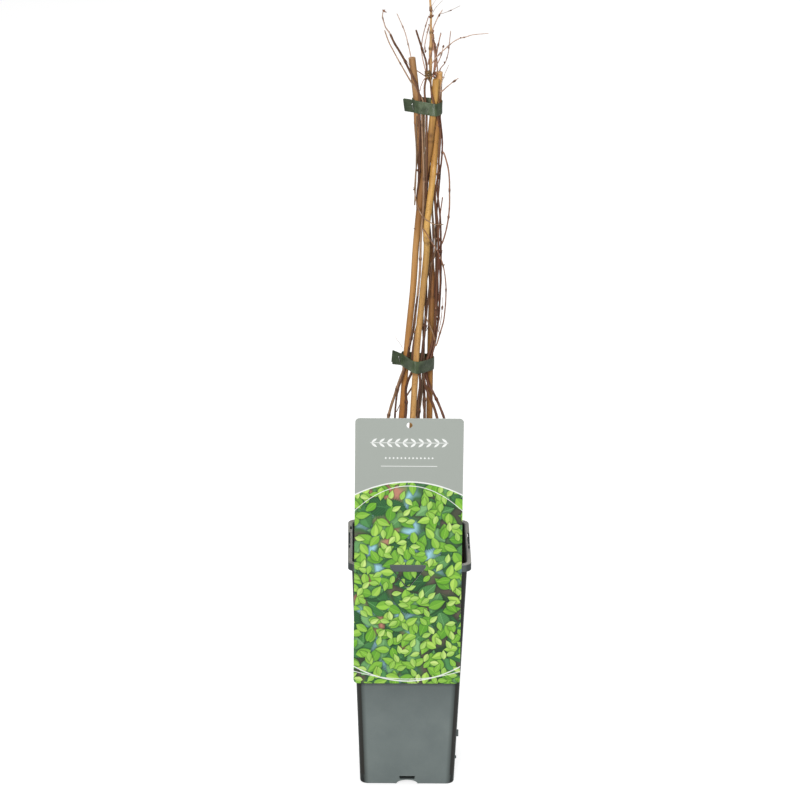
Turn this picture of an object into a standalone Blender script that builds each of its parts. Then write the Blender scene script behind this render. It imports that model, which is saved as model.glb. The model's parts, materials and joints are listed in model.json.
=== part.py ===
"""Hop bine in a square climber pot.

Dormant hop stems, called bines, wind round three bamboo canes that stand in a tall square
nursery pot. Two bands of green tying tape hold them, each closed by a wire staple, and a
picture card hangs on the pot's front rim by a tongue cut from the card itself.

Metres, +Z up, the front towards -Y. The origin is the middle of the pot's underside.
"""
import math

import bmesh
import bpy
import numpy as np
from mathutils import Matrix, Vector

for old in list(bpy.data.objects):
    bpy.data.objects.remove(old, do_unlink=True)

MM = 0.001
AIR = 0.3 * MM          # gap kept between pieces that touch on the real plant

# Pot
POT_HEIGHT = 230 * MM
RIM_WIDTH = 115 * MM
BODY_TOP_WIDTH = 108.2 * MM
BODY_FOOT_WIDTH = 89.1 * MM
CORNER_RADIUS = 8 * MM
WALL = 1.2 * MM
SKIRT_HEIGHT = 7 * MM
RIM_SLOT = (40 * MM, 1.8 * MM)
RIM_SLOT_FROM_EDGE = 2.1 * MM
SIDE_SLOT_WIDTH = 1.5 * MM
SIDE_SLOT_FROM_EDGE = 1.35 * MM
SIDE_SLOT_SHIFT = 4 * MM
RIM_NOTCH = (3.2 * MM, 7.5 * MM, 2.5 * MM)
DRAIN_POCKET = (20 * MM, 14 * MM, 4.1 * MM)
DRAIN_SLOT = (15 * MM, 3.2 * MM)
FLOOR_HOLE_DIAMETER = 8 * MM
FLOOR_HOLE_OFFSET = 27 * MM

# Soil
SOIL_TOP = 212 * MM
SOIL_FOOT = DRAIN_POCKET[2] + WALL + AIR
SOIL_MOUND = 3 * MM

# Picture card
CARD_WIDTH = 100 * MM
CARD_FOOT = 110 * MM
CARD_TOP = 375.5 * MM
CARD_MIDDLE = -1.7 * MM
CARD_THICKNESS = 0.5 * MM
CARD_CORNER = 4 * MM
CARD_HOLE_DIAMETER = 5.5 * MM
CARD_HOLE_BELOW_TOP = 6.8 * MM
TONGUE_WIDTH = 33.4 * MM
TONGUE_STRAIGHT = 2.7 * MM
TONGUE_DEPTH = 23 * MM
TONGUE_TIP_RADIUS = 3.2 * MM
TONGUE_KERF = 0.6 * MM

# Ties
TAPE_WIDTH = 12 * MM
TAPE_THICKNESS = 0.25 * MM
STAPLE_CROWN = 6.5 * MM
STAPLE_WIRE = 0.5 * MM
STAPLE_FROM_PINCH = 1.7 * MM

# Canes: foot and top radius, then points from foot to top, in millimetres
CANES = {
    "cane_left": (2.85, 3.15, [
        (-26, 31, 95), (-18, 23.5, 212), (-8, 15, 350), (-4, 11, 418), (1, 7, 478), (3, 5, 518),
        (5.5, 3.2, 552), (8, 1.9, 577), (13, -0.2, 608), (14.5, -0.8, 619), (17, -2, 647),
        (18.5, -2.5, 665), (19.5, -3, 683)]),
    "cane_right": (2.85, 3.2, [
        (21, 27, 95), (19.5, 23, 212), (18, 17.5, 349), (18, 14, 427), (18.7, 12.5, 476),
        (17.5, 12, 501), (14.5, 11, 530), (10, 9.5, 569), (6.5, 7.5, 603), (3.5, 5, 635),
        (2, 3, 664), (-2.5, 1, 702)]),
    "cane_front": (2.8, 3.15, [
        (-9.5, -37, 95), (-4.5, -28, 212), (2, -16, 363), (5, -11, 426), (7.5, -8, 454),
        (10, -6.5, 482), (13, -4.5, 520), (12.5, -3.2, 539), (15, -1.6, 563), (18, 1.4, 591),
        (19, 3.7, 606), (21.5, 4.2, 645), (22, 4.5, 663), (22.5, 4.5, 688)]),
}

# Bines and twigs: foot and tip radius, then points from foot to tip, in millimetres
BINES = {
    "bine_1": (1.5, 0.75, [
        (-14, 2, 204), (-19, 0, 240), (-24, 2, 285), (-23, 5, 325), (-20.5, 6, 353.5),
        (-15.5, 7, 372), (-9.3, 7, 392), (-6, 7.5, 402), (-3, 7, 412.5), (0, 3, 431),
        (3, -4, 446), (4, -7, 457.5), (6, -7, 474), (8.5, -6, 499), (9, -4, 530.5),
        (10.5, -2, 555.5), (11, -2, 577.5), (10.5, -4, 596.5), (9, -4, 621.5), (7.5, -2, 648),
        (8, -2, 663), (1, -2, 674.5), (-4.5, -3, 683), (-13.5, 2, 697.5), (-21.5, 7, 711),
        (-26.5, 10, 721), (-27.5, 12, 725)]),
    "bine_2": (1.5, 0.7, [
        (-3, 6, 204), (-5, 4, 240), (-9, 2, 285), (-7, 6, 330), (-4, 8, 360), (-4.5, 7, 382),
        (-2, 2, 392.5), (0.5, -3, 401), (1, -4, 418.5), (3.5, -3, 438.5), (6, -1, 449.5),
        (8.5, 0, 466), (12, 2, 507), (14, 4, 540), (16.5, 6, 570.5), (21, 9, 603),
        (24, 7, 627.5), (23.5, 8, 645), (23, 9.3, 660.5), (22.5, 9.8, 679.5), (23.5, 9, 690),
        (26.5, 4, 695), (29.5, -1, 702.5), (30.5, -6, 714), (31.5, -10, 723.5),
        (32, -13, 731.5)]),
    "bine_3": (1.5, 0.9, [
        (3, -9, 204), (8, -12, 250), (10, -9, 300), (7, -10, 340), (6, -11, 368.5),
        (8, -10, 389.5), (7, -9, 399), (9, -7, 422.5), (10.5, -3, 442.5), (11.5, -1, 456.5),
        (13, 2, 489.5), (14.5, 5.5, 527.5), (13, 3.5, 558.5), (12, -2, 582), (12, -5, 607.5),
        (11.5, -4, 634), (11.5, -3, 648), (10, -2, 663), (9.5, -2, 677.5), (11.5, -3, 692),
        (9.5, -6, 703), (6, -10, 714.5), (2, -16, 728.5), (0.5, -18, 733.5)]),
    "bine_4": (1.4, 0.8, [
        (6, 2, 204), (2, 0, 250), (1, -4, 300), (6, -6, 340), (8, -5, 362), (10, -3, 379),
        (11.5, -2, 399), (12.5, -1, 422), (12.5, 0, 440), (11.5, -1, 453), (11.5, -1, 479),
        (13.5, 2, 490), (16.5, 5, 505), (20.5, 7, 513), (21, 7, 525.5), (19.5, 6, 538.5),
        (18, 5, 551.5), (17, 7, 565), (15, 9, 580), (16, 10, 598)]),
    "bine_5": (1.5, 0.8, [
        (16, 6, 204), (22, 1, 245), (29, -2, 290), (28, 0, 330), (24.5, 2, 356), (17.5, 2, 375.5),
        (12, 1.5, 391.5), (12.5, 2, 401), (16, 6, 414), (19.5, 9, 426), (22, 8, 445.5),
        (22.5, 7, 475.5), (23.5, 6, 512.5), (21.5, 6, 544), (18, 5, 569), (19, 6, 579.5), (20, 0, 601),
        (22.5, -1, 632), (20.5, -2, 647), (18, -7, 660), (15.5, -5, 672), (15, 0, 688),
        (14.5, 0, 705), (15, 0, 724.5), (14.5, 0, 730.5), (14, 1, 738.5), (14.5, 2, 746),
        (13.5, 4, 755), (13.5, 5, 768)]),
    "bine_6": (1.5, 0.65, [
        (22, 0, 204), (29, 4, 240), (36, 8, 285), (35, 8, 330), (31, 8, 353), (22, 8, 374.5),
        (14.5, 7, 390), (14, 7, 400), (17, 9.8, 409), (20, 11, 418), (22.5, 13, 432),
        (24.5, 13, 449), (26, 11, 481), (26, 10, 511.5), (25, 8, 547), (21.5, 6, 579),
        (24, 4, 593), (26, 1, 616.5), (24.5, -0.5, 640), (23.3, -0.9, 650), (23.3, -0.9, 664),
        (24.5, 1, 677), (28, 3, 688), (31.5, 5, 695.5)]),
    "bine_7": (1.5, 1.0, [
        (12, -4, 204), (17, -8, 245), (18, -7, 290), (14, -2, 330), (13, -1, 356.5),
        (13, 2, 371), (12, 8, 384), (12.5, 15, 396), (14.5, 19.5, 407), (18.5, 19.5, 417),
        (21.5, 19, 430), (21, 18.5, 450), (20.5, 17.5, 480), (18.5, 17, 510), (14, 16.5, 531),
        (9, 14.5, 546), (5, 11, 557), (4.5, 7.5, 567), (5.5, 4.5, 578), (6, 3, 589), (6, 0, 624),
        (5, -1, 648), (4.5, -3, 672), (-2, -3, 686), (-7, -6, 697.5), (-12, -12, 708.5),
        (-18.5, -20, 721), (-23, -26, 732)]),
    "bine_8": (1.3, 0.6, [
        (-9, -6, 204), (-12, -10, 245), (-16, -8, 295), (-15, -2, 335), (-14.5, 2, 355.5),
        (-12.5, 4, 378), (-6.5, 4, 398.5), (-2, 1, 422.5), (1, -5, 442), (3.5, -10, 468.5),
        (5, -10, 478)]),
    "loop_bine": (0.7, 0.45, [
        (23.5, 14.5, 423), (27, 14, 435.5), (30, 11, 449.5), (31.5, 5, 479), (28.5, 0, 504),
        (22, -5, 521.5), (13, -8, 536.5), (9.5, -7.5, 542.5)]),
    "side_bine": (0.75, 0.7, [
        (27.5, 2, 612), (30.5, 1, 602.5), (32.5, 2, 593), (33.5, 5, 570), (33, 8, 548.5),
        (29, 12, 526), (24.5, 12, 517.5), (23.5, 12, 504), (25, 12, 476.5), (24, 13, 449.5)]),
    "tendril": (0.6, 0.45, [
        (6, -4, 611.5), (3.5, 2, 591), (2.5, 2, 577), (3, -1, 565), (8.5, -7, 559),
        (10.5, -8, 551), (16.5, -8, 547.5), (23, -4, 545), (28.5, 2, 543.5)]),
}
TWIGS = {
    "twig_far_left": (0.7, 0.4, [
        (-24, -27, 733), (-27, -29, 738), (-29.5, -31, 747.5), (-30, -32, 751.5), (-29, -32, 755)]),
    "twig_left_back": (0.75, 0.4, [
        (4.5, 10, 632), (4.5, 8, 645), (3, 7.5, 663), (-0.5, 6.5, 685), (-4, 7, 704),
        (-6, 9, 712.5), (-9.5, 12, 724.5), (-16.5, 16, 739.5)]),
    "twig_knot_left": (0.6, 0.6, [(13, -3, 718), (14, -3, 713), (12, -4, 703.5), (11.5, -5, 697)]),
    "twig_knot_front": (0.6, 0.6, [(17, -2, 724), (17.5, -3, 719.5), (17.5, -4, 713), (19, -5, 704.5)]),
    "twig_knot_right": (0.7, 0.6, [
        (18, 1, 721), (19.5, 2, 711.5), (19.5, 1, 700.5), (18, 0, 690)]),
    "twig_leader_right": (0.6, 0.4, [(17.5, 2, 729), (19, 3, 733), (21, 5, 738.5), (25, 8, 745.5)]),
    "twig_leader_long": (0.45, 0.3, [(24.5, 6, 741), (28, 2, 743.5), (33, -3, 747.5), (40.5, -10, 754)]),
    "twig_leader_top": (0.5, 0.35, [(16.5, 0, 744), (18.5, -2, 749), (21, -4, 753), (24.5, -7, 758)]),
    "twig_leader_left": (0.6, 0.45, [
        (8, 1, 689), (5.5, 8, 702), (5.5, 10, 712), (7.5, 9, 723), (12, 3, 740)]),
    "twig_leader_front": (0.5, 0.45, [
        (12, -4, 734), (9.5, -7, 723), (8.5, -8, 713.5), (9.5, -8, 709)]),
    "twig_bud_back": (0.5, 0.4, [(21, 5, 705), (22, 7, 713.5), (23.5, 10, 722.5)]),
    "twig_bud_right": (0.55, 0.4, [(21.5, 3, 693.5), (25, 8, 702), (26, 13, 710.5)]),
    "twig_arch": (0.6, 0.35, [
        (16.5, -3, 698), (21, -5, 705), (31.5, -6, 716), (38.5, -5, 721), (45, -3, 722.5),
        (52, 0, 724), (67, 6, 724)]),
    "twig_low_right": (0.65, 0.4, [(27.5, 1, 671), (31, -3, 676), (36.5, -9, 683.5), (40, -12, 687)]),
}
STRAND_STEP = 12.5      # millimetres between the rings of a bine
TWIG_STEP = 6.0

# The strand that each side branch grows from, at its foot
FORKS = {
    "loop_bine": "bine_6",
    "side_bine": "bine_6",
    "tendril": "bine_7",
    "twig_far_left": "bine_7",
    "twig_knot_left": "bine_5",
    "twig_knot_front": "bine_5",
    "twig_knot_right": "bine_5",
    "twig_leader_right": "bine_5",
    "twig_leader_long": "twig_leader_right",
    "twig_leader_top": "bine_5",
    "twig_leader_left": "bine_3",
    "twig_leader_front": "bine_5",
    "twig_bud_back": "twig_knot_right",
    "twig_bud_right": "twig_knot_right",
    "twig_arch": "bine_5",
    "twig_low_right": "bine_6",
}

# Ties: height of the middle at the origin and its fall per millimetre towards +X and +Y, then
# where the two ends meet and where their flag ends in plan, the step of the flag's end from
# its top corner to its bottom corner, and how far the two ends splay up and down
TIES = {
    "upper": (657.5, (0.10, 0.0), (0.4, -3.2), (-9.6, -1.4), 1.7, 0.0),
    "lower": (409.3, (0.185, 0.09), (-9.0, 5.2), (-18, 8), -1.0, 1.3),
}

part = bpy.data.collections.new("hop_bine")
cutters = bpy.data.collections.new("cutters")
bpy.context.scene.collection.children.link(part)
bpy.context.scene.collection.children.link(cutters)


def material(name, colour, roughness, metallic=0.0):
    made = bpy.data.materials.new(name)
    made.use_nodes = True
    shader = made.node_tree.nodes["Principled BSDF"]
    shader.inputs["Base Color"].default_value = (*colour, 1)
    shader.inputs["Roughness"].default_value = roughness
    shader.inputs["Metallic"].default_value = metallic
    return made


POT_PLASTIC = material("pot_plastic", (0.10, 0.11, 0.11), 0.45)
COMPOST = material("compost", (0.035, 0.022, 0.014), 0.95)
BAMBOO = material("bamboo", (0.62, 0.40, 0.16), 0.45)
BARK = material("bark", (0.22, 0.11, 0.06), 0.7)
TAPE = material("tape", (0.06, 0.11, 0.07), 0.4)
WIRE = material("wire", (0.6, 0.6, 0.6), 0.35, 1.0)
CARD = material("card", (0.35, 0.55, 0.2), 0.4)


def place(name, data, look=None, home=part):
    """A new object that holds the data, in its collection."""
    made = bpy.data.objects.new(name, data)
    if look:
        data.materials.append(look)
    home.objects.link(made)
    return made


def as_mesh(name, shape, look=None, home=part):
    """The curve object turned into a mesh object with its caps welded."""
    bpy.context.view_layer.update()
    view = bpy.context.evaluated_depsgraph_get()
    mesh = bpy.data.meshes.new_from_object(shape.evaluated_get(view))
    mesh.transform(shape.matrix_world)
    body = bmesh.new()
    body.from_mesh(mesh)
    bmesh.ops.remove_doubles(body, verts=body.verts, dist=0.001 * MM)
    bmesh.ops.recalc_face_normals(body, faces=body.faces)
    body.to_mesh(mesh)
    body.free()
    bpy.data.objects.remove(shape)
    mesh.materials.clear()
    return place(name, mesh, look, home)


def boxes(name, rows):
    """One mesh of plain boxes, each given by its middle and its size."""
    body = bmesh.new()
    for middle, size in rows:
        where = Matrix.Translation(middle) @ Matrix.Diagonal((*size, 1))
        bmesh.ops.create_cube(body, size=1, matrix=where)
    mesh = bpy.data.meshes.new(name)
    body.to_mesh(mesh)
    body.free()
    return place(name, mesh, home=cutters)


def combine(target, tool, operation):
    """Cuts the tool out of the target, or joins it on."""
    tool.hide_render = True
    tool.display_type = "WIRE"
    modifier = target.modifiers.new(tool.name, "BOOLEAN")
    modifier.operation = operation
    modifier.object = tool


# Square shells with round corners

def square_ring(half, radius, z, corner_steps=3):
    """Points of a level square with round corners, anticlockwise from above."""
    points = []
    for quarter in range(4):
        middle_angle = math.radians(45 + 90 * quarter)
        reach = (half - radius) * math.sqrt(2)
        cx, cy = reach * math.cos(middle_angle), reach * math.sin(middle_angle)
        for step in range(corner_steps + 1):
            angle = math.radians(90 * quarter + 90 * step / corner_steps)
            points.append(Vector((cx + radius * math.cos(angle), cy + radius * math.sin(angle), z)))
    return points


def loft(name, rings, look):
    """A closed solid through the rings, capped at the first and the last."""
    body = bmesh.new()
    loops = [[body.verts.new(point) for point in ring] for ring in rings]
    for low, high in zip(loops, loops[1:]):
        for i in range(len(low)):
            j = (i + 1) % len(low)
            body.faces.new((low[i], low[j], high[j], high[i]))
    body.faces.new(reversed(loops[0]))
    body.faces.new(loops[-1])
    bmesh.ops.recalc_face_normals(body, faces=body.faces)
    mesh = bpy.data.meshes.new(name)
    body.to_mesh(mesh)
    body.free()
    return place(name, mesh, look)


def body_half(z):
    """Half the pot's outer width at a height, under the rim."""
    share = z / (POT_HEIGHT - WALL)
    return (BODY_FOOT_WIDTH + (BODY_TOP_WIDTH - BODY_FOOT_WIDTH) * share) / 2


def around(rows):
    """Each box given for the front side, repeated on the four sides of the pot."""
    placed = []
    for middle, size in rows:
        for quarter in range(4):
            turn = Matrix.Rotation(math.radians(90 * quarter), 3, "Z")
            turned = size if quarter % 2 == 0 else (size[1], size[0], size[2])
            placed.append((turn @ Vector(middle), turned))
    return placed


def drain_pockets():
    """Four arched pockets under the walls, where the water runs out."""
    wide, deep, high = DRAIN_POCKET
    half, shoulder = wide / 2, wide / 2 - 2.8 * MM
    arch = [(-half, -2 * MM), (half, -2 * MM), (half, 0.35 * high), (shoulder, high),
            (-shoulder, high), (-half, 0.35 * high)]
    front = -body_half(0) - WALL
    body = bmesh.new()
    for quarter in range(4):
        turn = Matrix.Rotation(math.radians(90 * quarter), 3, "Z")
        near, far = [[body.verts.new(turn @ Vector((x, y, z))) for x, z in arch]
                     for y in (front, front + deep)]
        body.faces.new(near)
        body.faces.new(far[::-1])
        for i in range(len(arch)):
            body.faces.new((near[i - 1], far[i - 1], far[i], near[i]))
    bmesh.ops.recalc_face_normals(body, faces=body.faces)
    mesh = bpy.data.meshes.new("drain_pockets")
    body.to_mesh(mesh)
    body.free()
    return place("drain_pockets", mesh, home=cutters)


def pot():
    rim = RIM_WIDTH / 2
    skirt_foot = POT_HEIGHT - SKIRT_HEIGHT
    inner_radius = CORNER_RADIUS - WALL
    rings = [
        square_ring(body_half(0) - 0.8 * MM, CORNER_RADIUS - 0.8 * MM, 0),
        square_ring(body_half(0.8 * MM), CORNER_RADIUS, 0.8 * MM),
        square_ring(body_half(POT_HEIGHT - WALL), CORNER_RADIUS, POT_HEIGHT - WALL),
        square_ring(rim - WALL, CORNER_RADIUS - WALL, POT_HEIGHT - WALL),
        square_ring(rim - WALL, CORNER_RADIUS - WALL, skirt_foot),
        square_ring(rim, CORNER_RADIUS, skirt_foot),
        square_ring(rim, CORNER_RADIUS, POT_HEIGHT - 0.5 * MM),
        square_ring(rim - 0.5 * MM, CORNER_RADIUS - 0.5 * MM, POT_HEIGHT),
        square_ring(body_half(POT_HEIGHT) - 0.1 * MM, inner_radius + 1.1 * MM, POT_HEIGHT),
        square_ring(body_half(POT_HEIGHT) - WALL, inner_radius, POT_HEIGHT - 1.1 * MM),
        square_ring(body_half(WALL) - WALL, inner_radius, WALL),
    ]
    shell = loft("pot", rings, POT_PLASTIC)

    wide, deep, high = DRAIN_POCKET
    face = body_half(0)
    cover = ((0, -face + deep / 2 + 0.6 * MM, (high + WALL) / 2),
             (wide + 2 * WALL, deep + 0.6 * MM, high + WALL - 0.2 * MM))
    combine(shell, boxes("pocket_covers", around([cover])), "UNION")
    combine(shell, drain_pockets(), "DIFFERENCE")
    slot = ((0, -face, high + WALL + DRAIN_SLOT[1] / 2 - 0.4 * MM), (DRAIN_SLOT[0], 4 * WALL, DRAIN_SLOT[1]))
    openings = around([slot])
    openings += [((0, side * (rim - RIM_SLOT_FROM_EDGE), POT_HEIGHT), (*RIM_SLOT, 4 * WALL))
                 for side in (-1, 1)]
    openings += [((side * (rim - SIDE_SLOT_FROM_EDGE), SIDE_SLOT_SHIFT, POT_HEIGHT),
                  (SIDE_SLOT_WIDTH, RIM_SLOT[0], 4 * WALL)) for side in (-1, 1)]
    combine(shell, boxes("openings", openings), "DIFFERENCE")

    # Under the slots of the sides and the back a web joins the skirt to the wall, and a bar
    # crosses the side slots. The left web goes on to the corner, below the notch. The front slot
    # stays open for the card's tongue.
    web_z, long = skirt_foot + MM, RIM_SLOT[0] + 6 * MM
    extras = [((0, rim - 2.2 * MM, web_z), (long, 3.4 * MM, 1.2 * MM))]
    for side, more in ((-1, 25 * MM), (1, 0)):
        extras.append(((side * (rim - 2.2 * MM), SIDE_SLOT_SHIFT + more / 2, web_z),
                       (3.4 * MM, long + more, 1.2 * MM)))
        extras.append(((side * (rim - 1.4 * MM), -6.75 * MM, POT_HEIGHT - WALL / 2),
                       (2.4 * MM, 2.5 * MM, WALL - 0.1 * MM)))
    combine(shell, boxes("rim_webs", extras), "UNION")

    notch = ((-body_half(POT_HEIGHT) - 0.1 * MM, 35.5 * MM, POT_HEIGHT), RIM_NOTCH)
    combine(shell, boxes("rim_notch", [notch]), "DIFFERENCE")

    holes = bmesh.new()
    for x in (-FLOOR_HOLE_OFFSET, FLOOR_HOLE_OFFSET):
        for y in (-FLOOR_HOLE_OFFSET, FLOOR_HOLE_OFFSET):
            bmesh.ops.create_cone(holes, cap_ends=True, segments=12, depth=4 * WALL,
                                  radius1=FLOOR_HOLE_DIAMETER / 2, radius2=FLOOR_HOLE_DIAMETER / 2,
                                  matrix=Matrix.Translation((x, y, WALL / 2)))
    mesh = bpy.data.meshes.new("floor_holes")
    holes.to_mesh(mesh)
    holes.free()
    combine(shell, place("floor_holes", mesh, home=cutters), "DIFFERENCE")

    nubs = [((body_half(z) + (proud - 0.8 * MM) / 2, -30 * MM, z), (proud + 0.8 * MM, 1.6 * MM, tall))
            for z, proud, tall in ((52 * MM, 1.9 * MM, 7 * MM), (26.5 * MM, 1.2 * MM, 3 * MM))]
    combine(shell, boxes("mould_nubs", nubs), "UNION")


# Strands: canes, bines and twigs

def smooth_line(points, step):
    """Points about one step apart on a smooth curve through the given points."""
    knots = np.array(points, float)
    ends = np.vstack([2 * knots[0] - knots[1], knots, 2 * knots[-1] - knots[-2]])
    fine = []
    for a, b, c, d in zip(ends, ends[1:], ends[2:], ends[3:]):
        for t in np.linspace(0, 1, 12, endpoint=False):
            curve = 2 * b + (c - a) * t + (2 * a - 5 * b + 4 * c - d) * t**2
            fine.append((curve + (3 * b - a - 3 * c + d) * t**3) / 2)
    fine = np.array(fine + [knots[-1]])
    run = np.append(0, np.cumsum(np.linalg.norm(np.diff(fine, axis=0), axis=1)))
    count = max(4, round(run[-1] / step) + 1)
    at = np.linspace(0, run[-1], count)
    return np.stack([np.interp(at, run, fine[:, axis]) for axis in range(3)], axis=1)


def bead_shares(line, spacing=2.5):
    """How each bead, a close sample of the line, shares its place between the line's points."""
    rows = []
    for i in range(len(line) - 1):
        count = max(1, round(float(np.linalg.norm(line[i + 1] - line[i])) / spacing))
        for step in range(count):
            row = np.zeros(len(line))
            row[i] = 1 - step / count
            row[i + 1] = step / count
            rows.append(row)
    last = np.zeros(len(line))
    last[-1] = 1
    return np.array(rows + [last])


def pushes(beads, bead_radii, line, radii, air):
    """The way out for each bead that is too near the line."""
    start, along = line[:-1], line[1:] - line[:-1]
    offset = beads[:, None] - start[None]
    share = np.clip((offset * along).sum(2) / (along * along).sum(1), 0, 1)
    away = offset - share[..., None] * along
    distance = np.linalg.norm(away, axis=2) + 1e-9
    reach = radii[:-1] + share * (radii[1:] - radii[:-1])
    short = bead_radii[:, None] + reach + air - distance
    worst = short.argmax(axis=1)
    pick = np.arange(len(beads))
    depth = np.maximum(short[pick, worst], 0)
    return away[pick, worst] / distance[pick, worst][:, None] * depth[:, None]


def fork_foot(line, radii, parent_line, parent_radii, air):
    """Where a side branch starts, just clear of the strand that it grows from."""
    start, along = parent_line[:-1], parent_line[1:] - parent_line[:-1]
    share = np.clip(((line[0] - start) * along).sum(1) / (along * along).sum(1), 0, 1)
    nearest = start + share[:, None] * along
    at = np.linalg.norm(nearest - line[0], axis=1).argmin()
    way = along[at] / np.linalg.norm(along[at])
    out = line[1] - nearest[at]
    if 0 < share[at] < 1:
        out = out - way * (out @ way)
    return nearest[at] + out / np.linalg.norm(out) * (parent_radii[at] + radii[0] + air)


def keep_apart(strands, fixed, rounds=90, settle=30, air=0.36):
    """Moves the strands sideways until each has its air to the others."""
    routes = {name: line.copy() for name, (line, radii) in strands.items()}
    shares = {name: bead_shares(line) for name, (line, radii) in strands.items()}
    everything = {**strands, **fixed}
    for turn in range(rounds + settle):
        for name, (line, radii) in strands.items():
            beads, bead_radii = shares[name] @ line, shares[name] @ radii
            push = np.zeros_like(beads)
            for other, (other_line, other_radii) in everything.items():
                clear = (other_line.min(0) > line.max(0) + 6) | (other_line.max(0) < line.min(0) - 6)
                if other == name or clear.any():
                    continue
                half = 1.0 if other in fixed else 0.6
                push += half * pushes(beads, bead_radii, other_line, other_radii, air)
            pushed = np.linalg.norm(push, axis=1) > 0
            weight = (shares[name] * pushed[:, None]).sum(0)
            line += (shares[name].T @ push) / np.maximum(weight, 1e-6)[:, None] * (weight > 0)[:, None]
            if turn < rounds:
                drift = line - routes[name]
                eased = drift.copy()
                eased[1:-1] = (drift[:-2] + 2 * drift[1:-1] + drift[2:]) / 4
                line += 0.5 * (eased - drift)
            if name in FORKS:
                line[0] = fork_foot(line, radii, *strands[FORKS[name]], air)
    return strands


def tube(name, line, radii, look, ridges=1):
    """A curve object through the line in millimetres, with a radius for each point."""
    data = bpy.data.curves.new(name, "CURVE")
    data.dimensions = "3D"
    data.bevel_depth = MM
    data.bevel_resolution = ridges
    data.use_fill_caps = True
    spline = data.splines.new("POLY")
    spline.points.add(len(line) - 1)
    for point, place_mm, radius in zip(spline.points, line, radii):
        point.co = (*(place_mm * MM), 1)
        point.radius = radius
    return place(name, data, look)


def read_strands():
    """Canes as given, and bines and twigs moved clear of them and of each other."""
    canes = {}
    for name, (foot, tip, points) in CANES.items():
        line = np.array(points, float)
        canes[name] = (line, np.linspace(foot, tip, len(line)))
    strands = {}
    for rows, step in ((BINES, STRAND_STEP), (TWIGS, TWIG_STEP)):
        for name, (foot, tip, points) in rows.items():
            line = smooth_line(points, step)
            strands[name] = (line, np.linspace(foot, tip, len(line)))
    return canes, keep_apart(strands, canes)


def soil(strands):
    """The compost, with a hole for each cane and bine that goes into it."""
    inset = WALL + AIR
    radius = CORNER_RADIUS - inset
    edge_top = SOIL_TOP - SOIL_MOUND
    rings = [
        square_ring(body_half(SOIL_FOOT) - inset, radius, SOIL_FOOT),
        square_ring(body_half(edge_top) - inset, radius, edge_top),
        square_ring(body_half(edge_top) - 18 * MM, radius, SOIL_TOP - 0.8 * MM),
        square_ring(body_half(edge_top) - 34 * MM, radius, SOIL_TOP),
    ]
    compost = loft("soil", rings, COMPOST)
    for name, (line, radii) in strands.items():
        if line[0][2] * MM > SOIL_TOP:
            continue
        above = np.argmax(line[:, 2] > SOIL_TOP / MM + 2)
        low, high = line[0], line[above]
        way = (line[1] - line[0]) / np.linalg.norm(line[1] - line[0])
        path = np.vstack([low - 0.35 * way, line[:above], high])
        ridges = 3 if name in CANES else 1
        flat_to_corner = math.cos(math.pi / (4 + 2 * ridges))
        wide = (np.append(radii[0], radii[:above + 1]) + 0.32) / flat_to_corner
        hole = as_mesh(name + "_hole", tube(name + "_hole", path, wide, None, ridges), home=cutters)
        combine(compost, hole, "DIFFERENCE")


# Ties and staples

def outer_hull(points):
    """The points of the convex outline, anticlockwise."""
    ordered = sorted(map(tuple, points))

    def half(row):
        chain = []
        for p in row:
            while len(chain) > 1:
                (ax, ay), (bx, by) = chain[-2], chain[-1]
                if (bx - ax) * (p[1] - ay) - (by - ay) * (p[0] - ax) > 0:
                    break
                chain.pop()
            chain.append(p)
        return chain[:-1]

    return half(ordered) + half(ordered[::-1])


def girdle(strands, height, fall, width):
    """Outline in plan round every strand at the tie's height, with air to the tape."""
    air = 0.55
    circle = [(math.cos(a), math.sin(a)) for a in np.linspace(0, 2 * math.pi, 12, endpoint=False)]
    rim = []
    for line, radii in strands.values():
        for level in np.arange(-width / 2 - 1, width / 2 + 1.1, 1.5):
            rise = line[:, 2] + line[:, 0] * fall[0] + line[:, 1] * fall[1] - height - level
            for i in np.nonzero(rise[:-1] * rise[1:] <= 0)[0]:
                share = rise[i] / (rise[i] - rise[i + 1] + 1e-9)
                x, y, _ = line[i] + share * (line[i + 1] - line[i])
                reach = 1.08 * radii[i] + air
                rim += [(x + reach * cx, y + reach * cy) for cx, cy in circle]
    return rim


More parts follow.
